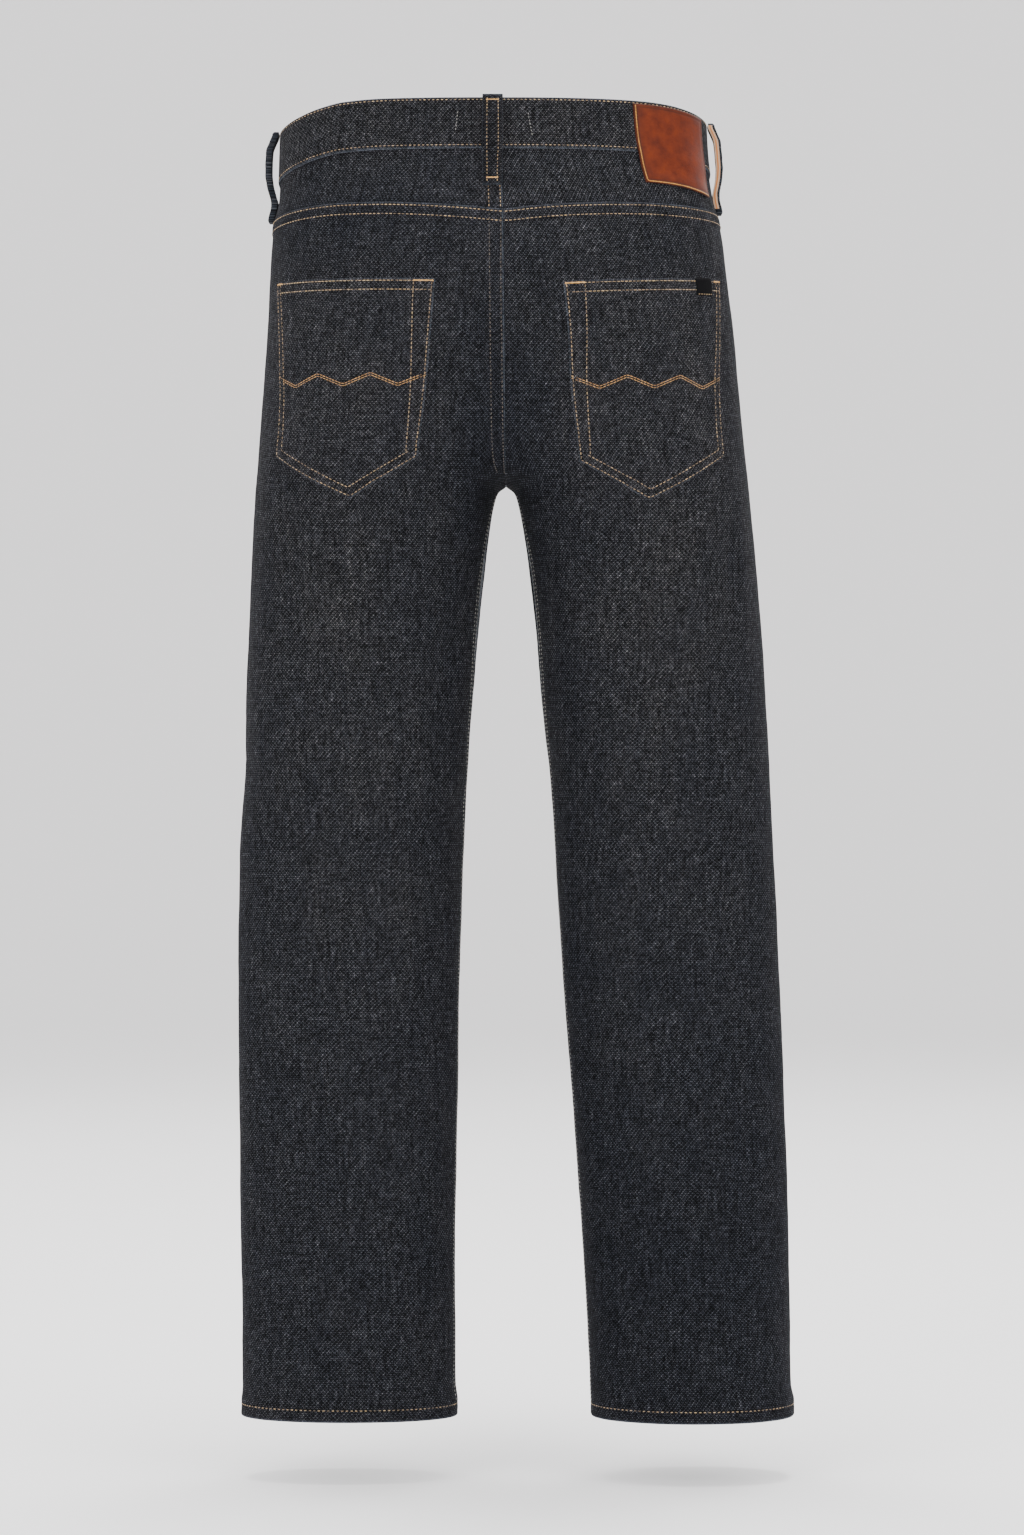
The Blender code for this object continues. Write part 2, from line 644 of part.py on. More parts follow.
def yoke(half, name):
    """A back yoke, from the waistband down to the yoke seam."""
    along = waist_columns(half)
    top = band_top(half, along) - BAND_HEIGHT - GAP
    low = yoke_seam(half, scaled_round(half, along, np.full(len(along), YOKE_LEVEL))) + GAP / 2
    heights = np.stack([lerp(top, low, share) for share in (0.0, 0.5, 1.0)])
    spots = np.stack([scaled_round(half, along, row) for row in heights])
    wall(name, cloth(half, spots, heights), cloth(half, spots, heights, -WALL))


def waistband():
    """The waistband: one strip whose left end laps over its right end, held off it by the seam gap."""
    _, left_front = reaches(LEFT, np.zeros(1))
    _, right_front = reaches(RIGHT, np.zeros(1))
    ramp = FLY_OVERLAP + UNDERLAP_CLEAR
    loop_edges = (FRONT_LOOP - LOOP_WIDTH / 2, FRONT_LOOP + LOOP_WIDTH / 2)
    side_seam = -SIDE_SEAM_FORWARD + GAP / 2
    left_marks = [place - left_front[0] for place in (-FLY_OVERLAP, UNDERLAP) + loop_edges]
    left = filled(left_marks + [side_seam], WAIST_COLUMN)[:-1]
    right_marks = [place - right_front[0] for place in (-UNDERLAP, ramp, ramp + UNDERLAP_RAMP) + loop_edges]
    right = filled(right_marks + [side_seam], WAIST_COLUMN)[:-1]
    left_back = list(waist_columns(LEFT)[::-1])
    right_back = list(waist_columns(RIGHT)[1:])
    outer_face = []
    inner_face = []
    for half, spots in ((LEFT, left + left_back), (RIGHT, right_back + right[::-1])):
        along = np.array(spots)
        top = band_top(half, along)
        heights = np.stack([top - BAND_HEIGHT * share for share in (0.0, 0.5, 1.0)])
        columns = np.stack([scaled_round(half, along, row) for row in heights])
        depth = np.full(heights.shape, BAND_PROUD)
        if half == RIGHT:
            under = np.clip((-right_front[0] + ramp + UNDERLAP_RAMP - along) / UNDERLAP_RAMP, 0.0, 1.0)
            depth = depth - under * (BAND_WALL + GAP)
        outer_face.append(cloth(half, columns, heights, depth))
        inner_face.append(cloth(half, columns, heights, depth - BAND_WALL))
    wall("waistband", np.concatenate(outer_face, axis=1), np.concatenate(inner_face, axis=1))


def fly_edge(half, height):
    """Distance from the centre front to the fly edge, past it on the left and short of it on the right."""
    share = np.clip((height - FLY_END) / (FLY_STRAIGHT_END - FLY_END), 0.0, 1.0)
    return half * FLY_OVERLAP * share * share * (3 - 2 * share)


def front_columns(half, height):
    """Distances round of the front panel's columns, from the side seam to the fly edge or inseam."""
    _, front = reaches(half, height)
    start = -SIDE_SEAM_FORWARD - GAP / 2
    on_fly = np.where(height > FLY_END, GAP / 2, 0.0)
    end = -front - fly_edge(half, height) + on_fly + seam_inset(height) - inseam_shift(height)
    upright = -upright_reach(-end)
    spots = [lerp(start, upright, share) for share in FRONT_SHARES]
    last = spots[-1]
    return np.stack(spots + [lerp(last, end, 1 / 3), lerp(last, end, 2 / 3), end], axis=-1)


def scoop_top(half):
    """Height of the front panel's top edge at each column: the scooped opening, then the waistband."""
    height = np.full(1, -BAND_HEIGHT)
    along = front_columns(half, height)[0]
    shares = np.array(FRONT_SHARES + (1.0,) * UNDER_COLUMNS)
    under_band = band_top(half, along) - BAND_HEIGHT - GAP
    inside = np.clip(1.0 - (shares / SCOOP_SHARE) ** 2, 0.0, 1.0)
    return under_band - SCOOP_DEPTH * np.sqrt(inside)


def front_heights(half):
    """Heights of the front panel's grid, from the scooped top edge to the hem."""
    top = scoop_top(half)
    level = [row * CM for row in BODY_ROWS] + hem_rows()
    upper = [lerp(top, level[0], share) for share in FRONT_TOP_SHARES]
    return np.stack(upper + [np.full(len(top), row) for row in level])


def front_panel(half, name):
    """A front leg panel, scooped at the pocket opening and cut to the fly edge."""
    heights = front_heights(half)
    outer = grid_points(half, front_columns, heights, 0.0)
    inner = grid_points(half, front_columns, heights, thickness(heights))
    wall(name, outer, inner)


def pocket_facing(half, name):
    """The cloth seen inside the front pocket opening: under the panel's own points, and bare above them."""
    end = FRONT_SHARES.index(SCOOP_SHARE)
    columns = slice(0, end + 2)
    panel = front_heights(half)[:2]
    under_band = panel[:1] + 0.0
    along = front_columns(half, np.full(1, -BAND_HEIGHT))[0]
    under_band[0] = band_top(half, along) - BAND_HEIGHT - GAP
    faces = []
    for depth in (-WALL - FACING_GAP, -WALL - FACING_GAP - FACING_WALL):
        edge, below = grid_points(half, front_columns, panel, depth)[:, columns]
        top = grid_points(half, front_columns, under_band, depth)[0, columns]
        middle = lerp(top, edge, 0.5)
        low = edge.copy()
        middle[end:] = lerp(edge, below, 1 / 3)[end:]
        low[end:] = lerp(edge, below, 2 / 3)[end:]
        faces.append(np.stack([top, middle, low, below]))
    wall(name, faces[0], faces[1])


def fly_levels():
    """Heights of the front panel's rows along the fly edge, top first."""
    top = scoop_top(LEFT)[-1]
    rows = [lerp(top, BODY_ROWS[0] * CM, share) for share in FRONT_TOP_SHARES]
    return np.array(rows + [BODY_ROWS[0] * CM, BODY_ROWS[1] * CM])


def at_fly(across, heights, grow):
    """Points near the centre front, on the flats between the panel's rows; across is + to the left."""
    levels = fly_levels()
    _, front = reaches(LEFT, levels)
    spots = across[None, :] - front[:, None]
    depth = np.broadcast_to(np.asarray(grow, dtype=float), spots.shape)
    rows = cloth(LEFT, spots, np.broadcast_to(levels[:, None], spots.shape), depth)
    points = []
    for height in heights:
        cell = int(np.clip(np.searchsorted(-levels, -height) - 1, 0, len(levels) - 2))
        share = (levels[cell] - height) / (levels[cell] - levels[cell + 1])
        points.append(lerp(rows[cell], rows[cell + 1], share))
    return np.stack(points)


def fly_strip(name, right, left, top, low, depth, thick, material_name):
    """A flat strip behind the fly between two distances from the centre front and two heights."""
    across = np.linspace(right, left, 4)
    between = [level for level in fly_levels() if low < level < top]
    heights = [top] + between + [low]
    wall(name, at_fly(across, heights, depth), at_fly(across, heights, depth - thick), material_name)


def fly():
    """Zip, its slider and the shield behind them, in layers inside the front panels."""
    band_foot = fly_levels()[0]
    layer = -WALL - GAP
    zip_top = band_foot - ZIP_TOP_SPACE
    zip_right = ZIP_CENTRE - ZIP_WIDTH / 2
    fly_strip("fly_zip", zip_right, zip_right + ZIP_WIDTH, zip_top, ZIP_END, layer, ZIP_WALL, "zip_cloth")
    shield = layer - ZIP_WALL - GAP
    fly_strip("fly_shield", SHIELD_RIGHT, SHIELD_LEFT, band_foot - GAP, SHIELD_END, shield, WALL, "denim")
    across = ZIP_CENTRE + SLIDER_WIDTH * np.array((-0.5, -0.3, 0.3, 0.5))
    heights = [zip_top + GAP + SLIDER_HEIGHT, zip_top + GAP + SLIDER_HEIGHT / 2, zip_top + GAP]
    wall("zip_slider", at_fly(across, heights, layer), at_fly(across, heights, layer - ZIP_WALL), "brass")


def waist_button():
    """The shank button's round head, in front of the waistband's lapped end."""
    _, waist_front = reaches(LEFT, np.zeros(1))
    levels = band_top(LEFT, -waist_front) - BAND_HEIGHT * np.array((0.0, 0.5, 1.0))
    _, front = reaches(LEFT, levels)
    top, seat, foot = cloth(LEFT, BUTTON_SIDE - front, levels, BAND_PROUD + 1.5 * GAP)
    lean = math.atan2(top[1] - foot[1], top[2] - foot[2])
    shape = bmesh.new()
    line = [shape.verts.new((r * BUTTON_RADIUS, -h * BUTTON_HEIGHT, 0.0)) for r, h in BUTTON_OUTLINE]
    edges = [shape.edges.new(pair) for pair in zip(line, line[1:])]
    bmesh.ops.spin(
        shape, geom=line + edges, axis=(0, 1, 0), angle=math.tau, steps=BUTTON_SEGMENTS, use_merge=True
    )
    bmesh.ops.remove_doubles(shape, verts=shape.verts, dist=TOUCH)
    place = mathutils.Matrix.Translation(tuple(seat)) @ mathutils.Matrix.Rotation(-lean, 4, "X")
    bmesh.ops.transform(shape, verts=shape.verts, matrix=place)
    made = add_object("waist_button", shape, "brass")
    made.data.shade_smooth()
    made.data.set_sharp_from_angle(angle=math.radians(35))


def belt_loop(name, half, place):
    """A belt loop: a strip that stands off the waistband, tacked at its top edge and below it."""
    back, front = reaches(half, np.zeros(1))
    centre = {"back": back[0], "side": 0.0, "front": FRONT_LOOP - front[0]}[place]
    across = centre + LOOP_WIDTH * np.array((0.5, 0.0, -0.5))
    top = band_top(half, np.full(3, centre))
    drops = np.array([drop for drop, _ in LOOP_PATH]) * MM
    offs = np.array([off for _, off in LOOP_PATH]) * MM
    heights = top[None, :] - drops[:, None]
    here_back, here_front = reaches(half, heights[:, 0])
    middle = level_sizes(half, heights[:, 0])["middle"]
    upright = here_back - back[0] + half * (middle - middle[0])
    moved = {"back": upright, "side": np.zeros(len(drops)), "front": front[0] - here_front}[place]
    spots = across[None, :] + moved[:, None]
    off = np.broadcast_to(offs[:, None], heights.shape)
    wall(name, cloth(half, spots, heights, off + LOOP_WALL), cloth(half, spots, heights, off))


def waist_patch():
    """The bare leather patch, over the waistband and the yoke's upper part at the right back."""
    along = waist_columns(RIGHT)
    along = along[(along <= PATCH_INNER + GAP) & (along >= PATCH_OUTER - GAP)]
    top = band_top(RIGHT, along) - PATCH_TOP_DROP
    band_foot = band_top(RIGHT, along) - BAND_HEIGHT
    foot = top - PATCH_HEIGHT
    heights = np.stack([top, lerp(top, band_foot, 0.5), band_foot - 2 * MM, lerp(band_foot, foot, 0.6), foot])
    off = np.broadcast_to(np.array(PATCH_LIFTS)[:, None], heights.shape)
    spots = np.stack([scaled_round(RIGHT, along, row) for row in heights])
    inner = cloth(RIGHT, spots, heights, off)
    wall("waist_patch", cloth(RIGHT, spots, heights, off + PATCH_WALL), inner, "leather")


def pocket_label(pocket):
    """The bare woven label, folded flat on the right pocket's top edge: pocket points, moved out."""

    def on_pocket(row, place):
        cell = min(int(place), len(POCKET_SHARES) - 2)
        upper = lerp(pocket[0, cell], pocket[0, cell + 1], place - cell)
        lower = lerp(pocket[1, cell], pocket[1, cell + 1], place - cell)
        return lerp(upper, lower, row)

    face = np.array([[on_pocket(row, place) for place in LABEL_COLUMNS] for row in LABEL_ROWS])
    out = np.cross(face[1, 0] - face[0, 0], face[0, -1] - face[0, 0])
    out *= np.sign(out[1]) / np.linalg.norm(out)
    wall("pocket_label", face + out * (2 * GAP + LABEL_WALL), face + out * 2 * GAP, "label_cloth")


def clear_scene():
    """Remove whatever the scene holds."""
    for old in list(bpy.data.objects):
        bpy.data.objects.remove(old, do_unlink=True)


def main():
    clear_scene()
    pockets = {}
    for half, side in ((LEFT, "left"), (RIGHT, "right")):
        heights = back_panel(half, f"back_{side}")
        pockets[half] = back_pocket(half, f"back_pocket_{side}", heights)
        front_panel(half, f"front_{side}")
        pocket_facing(half, f"pocket_facing_{side}")
        yoke(half, f"yoke_{side}")
    waistband()
    fly()
    waist_button()
    for name, (half, place) in LOOPS.items():
        belt_loop(name, half, place)
    waist_patch()
    pocket_label(pockets[RIGHT])


main()
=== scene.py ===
"""Straight leg jeans, filled out as worn: denim, sewing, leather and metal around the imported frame.

Every piece of cloth lies on one worn form. A point on it is found from the side of the body it is on, its
distance round from the outer side line (positive towards the back, negative towards the front), its height
and how far it stands out. All sizes are in metres, with +Z up and the wearer's front facing -Y.
"""

import functools
import json
import logging
import math
from dataclasses import dataclass
from enum import Enum
from typing import Callable, Optional, Sequence, Union

import bpy
import numpy as np
from mathutils import Matrix, Vector

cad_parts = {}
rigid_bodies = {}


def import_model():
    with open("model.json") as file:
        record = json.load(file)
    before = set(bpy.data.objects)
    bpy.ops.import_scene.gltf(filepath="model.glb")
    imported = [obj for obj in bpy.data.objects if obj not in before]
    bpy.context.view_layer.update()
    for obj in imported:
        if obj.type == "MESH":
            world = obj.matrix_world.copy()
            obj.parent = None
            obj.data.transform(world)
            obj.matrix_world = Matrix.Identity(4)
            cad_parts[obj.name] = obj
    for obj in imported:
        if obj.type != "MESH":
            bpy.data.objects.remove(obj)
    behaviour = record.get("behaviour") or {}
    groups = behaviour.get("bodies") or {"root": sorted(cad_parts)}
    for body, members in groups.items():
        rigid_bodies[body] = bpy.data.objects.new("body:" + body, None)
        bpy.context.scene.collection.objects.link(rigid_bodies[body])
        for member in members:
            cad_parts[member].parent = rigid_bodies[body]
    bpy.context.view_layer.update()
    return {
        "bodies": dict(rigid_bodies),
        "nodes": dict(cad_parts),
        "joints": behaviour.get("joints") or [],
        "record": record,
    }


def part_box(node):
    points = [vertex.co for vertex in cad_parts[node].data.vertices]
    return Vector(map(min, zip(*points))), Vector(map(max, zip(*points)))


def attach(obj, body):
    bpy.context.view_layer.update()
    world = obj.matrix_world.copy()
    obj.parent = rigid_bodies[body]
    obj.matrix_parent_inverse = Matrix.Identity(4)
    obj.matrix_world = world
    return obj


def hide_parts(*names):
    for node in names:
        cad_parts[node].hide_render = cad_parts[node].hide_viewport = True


LOG = logging.getLogger("jeans")
CM = 0.01
MM = 0.001

Socket = bpy.types.NodeSocket
Number = Union[bpy.types.NodeSocket, float]
Colour = Union[bpy.types.NodeSocket, tuple[float, float, float]]
Places = Union[np.ndarray, float]
Pair = tuple[np.ndarray, np.ndarray]


class Side(Enum):
    """Which half of the wearer's body a piece is on."""

    LEFT = 1
    RIGHT = -1

    @property
    def word(self) -> str:
        """The side's name in lower case."""
        return self.name.lower()


class Spot(Enum):
    """Where on the waistband a belt loop is centred."""

    BACK = "back"
    SIDE = "side"
    FRONT = "front"


class Thread(Enum):
    """The sewing threads, by what they look like."""

    TAN = "tan"
    GOLD = "gold"
    CREAM = "cream"
    DIM = "dim"
    OCHRE = "ochre"


# --------------------------------------------------------------------------------------------------------
# The worn form
# --------------------------------------------------------------------------------------------------------

# Level sections, centimetres: height, outer side line on the left and on the right, the seam between the
# halves, half the space between the legs, each half's half depth, the centre along Y, and the exponent.
SECTION_NAMES = (
    "height", "left", "right", "middle", "apart", "depth_left", "depth_right", "lean", "square",
)
SECTIONS = np.array((
    (3.5, 17.20, -17.30, 0.00, -17.25, 9.35, 9.35, 0.10, 2.50),
    (0.0, 17.33, -17.45, -0.15, -17.40, 9.60, 9.60, 0.10, 2.50),
    (-4.0, 17.45, -17.95, -0.78, -17.70, 10.45, 10.45, 0.40, 2.45),
    (-6.5, 17.92, -18.55, -0.86, -18.20, 11.10, 11.10, 0.70, 2.40),
    (-10.5, 18.14, -19.09, -0.90, -18.60, 11.90, 11.90, 1.00, 2.35),
    (-15.5, 18.41, -19.68, -0.95, -19.00, 12.10, 12.10, 1.20, 2.32),
    (-19.5, 18.70, -20.03, -0.99, -16.80, 11.75, 11.75, 1.20, 2.35),
    (-23.0, 18.95, -20.38, -1.02, -11.20, 11.15, 11.15, 1.10, 2.45),
    (-25.0, 19.10, -20.58, -1.03, -6.30, 10.60, 10.62, 1.00, 2.58),
    (-26.3, 19.20, -20.70, -1.05, -3.10, 10.18, 10.25, 0.90, 2.68),
    (-27.1, 19.27, -20.78, -1.06, -0.90, 9.90, 10.00, 0.85, 2.72),
    (-27.5, 19.30, -20.82, -1.07, 0.03, 9.78, 9.90, 0.80, 2.72),
    (-28.0, 19.35, -20.88, -1.07, 0.65, 9.64, 9.80, 0.80, 2.70),
    (-29.0, 19.42, -20.97, -1.08, 0.98, 9.42, 9.60, 0.80, 2.62),
    (-32.0, 19.62, -21.31, -1.14, 1.52, 8.90, 9.15, 0.70, 2.45),
    (-38.5, 19.94, -21.88, -1.17, 2.29, 8.15, 8.35, 0.60, 2.28),
    (-45.0, 20.21, -22.35, -1.18, 2.83, 7.42, 7.55, 0.20, 2.16),
    (-51.5, 20.38, -22.69, -1.29, 3.41, 6.77, 6.95, -0.10, 2.10),
    (-58.0, 20.78, -23.03, -1.36, 3.77, 5.90, 6.25, -0.30, 2.10),
    (-68.0, 20.89, -23.50, -1.51, 4.26, 5.25, 5.60, -0.20, 2.10),
    (-78.0, 20.78, -23.90, -1.82, 4.72, 5.05, 5.50, 0.10, 2.10),
    (-88.0, 20.67, -24.21, -2.07, 5.17, 5.05, 5.55, 0.40, 2.10),
    (-97.0, 20.49, -24.32, -2.36, 5.43, 5.00, 5.70, 0.70, 2.10),
    (-101.0, 20.48, -24.40, -2.46, 5.49, 4.95, 5.75, 0.80, 2.10),
    (-102.2, 20.59, -24.62, -2.57, 5.43, 4.90, 5.75, 0.80, 2.10),
    (-104.5, 20.60, -24.62, -2.58, 5.45, 4.90, 5.75, 0.80, 2.10),
))

# Heights of the waistband's top edge and of the yoke seam, centimetres: share (1 at the centre back, -1 at
# the centre front), band left, band right, yoke left, yoke right.
EDGE_NAMES = ("share", "band_left", "band_right", "yoke_left", "yoke_right")
EDGES = np.array((
    (-1.00, -0.10, -0.10, -6.70, -5.80),
    (-0.60, 0.00, 0.10, -6.50, -5.70),
    (-0.25, 0.70, 1.25, -6.28, -5.56),
    (0.00, 1.25, 1.95, -6.05, -5.48),
    (0.12, 1.45, 2.15, -5.88, -5.45),
    (0.24, 1.95, 2.50, -5.67, -5.43),
    (0.35, 2.50, 2.78, -5.50, -5.42),
    (0.45, 2.85, 2.90, -5.43, -5.42),
    (0.60, 2.97, 2.95, -5.50, -5.50),
    (0.85, 2.97, 2.97, -5.85, -5.82),
    (1.00, 2.97, 2.97, -6.20, -6.20),
))

# How far the inseam lies towards the back of each leg's inner line, centimetres: height, shift.
INSEAM_SHIFTS = np.array((
    (4.0, 0.0), (-27.5, 0.0), (-28.3, 0.8), (-30.0, 1.6), (-34.0, 2.2), (-38.5, 1.9), (-45.0, 1.0),
    (-52.0, 0.3), (-60.0, 0.0), (-105.0, 0.0),
))

# Soft folds, centimetres: side, start (round, height), end (round, height), half width, depth out.
FOLD_NAMES = ("side", "start_round", "start_height", "end_round", "end_height", "width", "depth")
LARGE_FOLDS = (
    (1, 11.4, -30.0, 12.8, -42.0, 1.8, 0.22),
    (1, 14.9, -31.0, 14.4, -43.0, 1.4, -0.20),
    (1, 17.4, -30.0, 17.2, -41.0, 1.5, 0.16),
    (1, 22.8, -30.5, 20.4, -49.0, 1.9, -0.28),
    (1, 22.2, -51.0, 21.6, -51.8, 1.6, 0.20),
    (1, 17.4, -54.8, 22.6, -53.6, 1.5, -0.26),
    (1, 2.0, -50.5, 6.5, -52.8, 1.8, -0.22),
    (1, 21.5, -24.2, 17.5, -29.5, 1.8, 0.18),
    (1, 14.0, -68.0, 13.0, -92.0, 3.0, 0.20),
    (1, -8.0, -50.0, -16.0, -52.5, 2.0, -0.26),
    (1, -14.0, -22.0, -21.0, -25.5, 1.8, -0.24),
    (-1, 10.3, -30.4, 12.4, -42.0, 1.8, 0.24),
    (-1, 7.2, -33.8, 8.6, -48.5, 1.7, -0.30),
    (-1, 14.4, -31.5, 15.0, -40.0, 1.5, -0.18),
    (-1, 17.8, -30.0, 17.9, -38.0, 1.5, 0.16),
    (-1, 11.5, -44.8, 17.8, -43.6, 1.4, -0.18),
    (-1, 4.2, -50.0, 4.4, -52.0, 1.8, 0.20),
    (-1, 21.8, -53.4, 16.2, -55.4, 1.5, -0.26),
    (-1, 20.0, -64.0, 16.6, -88.0, 1.9, -0.30),
    (-1, 12.0, -60.0, 11.0, -86.0, 2.6, 0.20),
    (-1, -8.0, -51.5, -15.0, -53.5, 2.0, -0.26),
    (-1, -14.5, -21.5, -21.0, -25.8, 1.8, -0.24),
)
SMALL_FOLDS = (
    (1, 20.5, -22.5, 24.5, -25.8, 0.9, -0.10),
    (1, 19.8, -30.5, 25.5, -28.8, 0.8, 0.10),
    (1, 18.6, -33.5, 24.0, -31.5, 0.8, -0.09),
    (1, 8.5, -31.5, 9.4, -40.0, 0.9, -0.08),
    (1, 5.0, -36.0, 6.0, -46.0, 1.0, 0.08),
    (1, 16.0, -57.2, 21.0, -56.6, 0.8, 0.08),
    (1, 4.0, -54.8, 8.5, -56.0, 0.9, 0.08),
    (1, 10.5, -52.0, 15.0, -52.6, 1.0, -0.07),
    (1, 8.0, -64.0, 7.2, -84.0, 1.2, -0.08),
    (1, 18.5, -70.0, 18.0, -94.0, 1.2, 0.07),
    (1, 9.0, -99.6, 14.5, -99.0, 0.9, -0.07),
    (1, 3.0, -8.2, 4.4, -11.0, 0.8, -0.06),
    (1, -10.0, -24.0, -20.0, -29.0, 1.0, 0.10),
    (1, -15.0, -19.0, -22.5, -22.0, 0.9, -0.09),
    (1, -6.0, -54.0, -14.0, -55.5, 0.9, 0.09),
    (1, -10.0, -70.0, -10.8, -92.0, 1.6, 0.09),
    (-1, 20.5, -22.5, 24.5, -25.8, 0.9, -0.10),
    (-1, 20.2, -30.8, 25.8, -29.0, 0.8, 0.10),
    (-1, 19.0, -34.0, 24.4, -32.0, 0.8, -0.09),
    (-1, 5.6, -31.5, 6.0, -40.0, 0.9, 0.08),
    (-1, 12.6, -46.4, 17.4, -45.6, 0.8, 0.07),
    (-1, 17.0, -58.0, 21.5, -56.2, 0.8, 0.08),
    (-1, 4.0, -54.4, 8.0, -55.6, 0.9, -0.08),
    (-1, 9.5, -52.4, 14.5, -53.0, 1.0, -0.07),
    (-1, 7.0, -66.0, 6.4, -88.0, 1.2, -0.08),
    (-1, 14.0, -70.0, 13.4, -92.0, 1.2, 0.07),
    (-1, 10.0, -99.8, 15.0, -99.2, 0.9, -0.07),
    (-1, -10.0, -24.0, -20.0, -29.2, 1.0, 0.10),
    (-1, -15.0, -19.0, -22.5, -22.4, 0.9, -0.09),
    (-1, -6.0, -55.0, -14.0, -56.8, 0.9, 0.09),
    (-1, -10.0, -70.0, -10.8, -92.0, 1.6, 0.09),
)

# Broad fading of the dye and painted shade, centimetres: side, round, height, half width, half height,
# change of brightness. Lighter entries are faded dye; darker entries at the seat seam, the crotch, the
# inner thighs, the side lines and the legs' inner edges are painted shade, and the rest darken the left
# yoke seam and the lower legs.
FADES_AND_SHADES = (
    (1, 12.0, -38.0, 6.0, 12.0, 0.16),
    (-1, 13.0, -38.0, 6.0, 12.0, 0.18),
    (1, 12.5, -20.0, 7.5, 9.0, 0.06),
    (-1, 13.0, -20.0, 7.5, 9.0, 0.12),
    (1, 24.5, -22.0, 3.0, 7.0, -0.16),
    (-1, 24.5, -22.0, 3.0, 7.0, -0.14),
    (1, 28.0, -33.0, 4.5, 9.0, -0.16),
    (-1, 28.0, -33.0, 4.5, 9.0, -0.16),
    (1, 14.0, -60.0, 6.0, 12.0, 0.08),
    (-1, 15.0, -66.0, 4.5, 16.0, 0.06),
    (1, 1.0, -50.0, 3.5, 40.0, -0.08),
    (-1, 1.0, -50.0, 3.5, 40.0, -0.10),
    (-1, 8.0, -90.0, 8.0, 14.0, -0.06),
    (1, -13.0, -40.0, 6.0, 13.0, 0.16),
    (-1, -13.0, -40.0, 6.0, 13.0, 0.16),
    (1, 8.0, -6.0, 16.0, 4.0, -0.20),
    (1, 26.5, -26.5, 2.5, 4.5, -0.26),
    (-1, 26.5, -26.5, 2.5, 4.5, -0.20),
    (1, 12.0, -95.0, 16.0, 30.0, -0.10),
    (-1, 12.0, -95.0, 16.0, 32.0, -0.22),
    (1, 22.0, -75.0, 4.0, 40.0, -0.12),
    (-1, 22.0, -75.0, 4.0, 40.0, -0.16),
)


def monotone(places: np.ndarray, values: np.ndarray, at: np.ndarray) -> np.ndarray:
    """Reads a monotone cubic through given points.

    Args:
        places: Where the points lie, running either way.
        values: Their values.
        at: Where to read the curve.

    Returns:
        The curve's values, the same shape as at.
    """
    order = np.argsort(places)
    x, y = places[order], values[order]
    width = np.diff(x)
    rise = np.diff(y) / width
    slope = np.zeros_like(y)
    slope[0], slope[-1] = rise[0], rise[-1]
    before = 2 * width[1:] + width[:-1]
    after = width[1:] + 2 * width[:-1]
    same = rise[:-1] * rise[1:] > 0
    low_rise = np.where(same, rise[:-1], 1.0)
    high_rise = np.where(same, rise[1:], 1.0)
    slope[1:-1] = np.where(same, (before + after) / (before / low_rise + after / high_rise), 0.0)
    at = np.clip(at, x[0], x[-1])
    cell = np.clip(np.searchsorted(x, at) - 1, 0, len(width) - 1)
    t = (at - x[cell]) / width[cell]
    low = (2 * t**3 - 3 * t**2 + 1) * y[cell] + (t**3 - 2 * t**2 + t) * width[cell] * slope[cell]
    high = (3 * t**2 - 2 * t**3) * y[cell + 1] + (t**3 - t**2) * width[cell] * slope[cell + 1]
    return low + high


def lerp(start: Places, end: Places, share: Places) -> Places:
    """The value a share of the way from start to end."""
    return start + (end - start) * share


def ease(low: float, high: float, value: np.ndarray) -> np.ndarray:
    """A smooth step from 0 at low to 1 at high."""
    t = np.clip((value - low) / (high - low), 0.0, 1.0)
    return t * t * (3 - 2 * t)


def bell(distance: Places, width: Places) -> np.ndarray:
    """1 at no distance, fading evenly both ways over a width."""
    return np.exp(-((distance / width) ** 2))


def turned(distance: Places, width: float) -> np.ndarray:
    """1 at an edge and 0 from a width in, as cloth rounds over."""
    return np.clip(1 - distance / width, 0.0, 1.0) ** 2


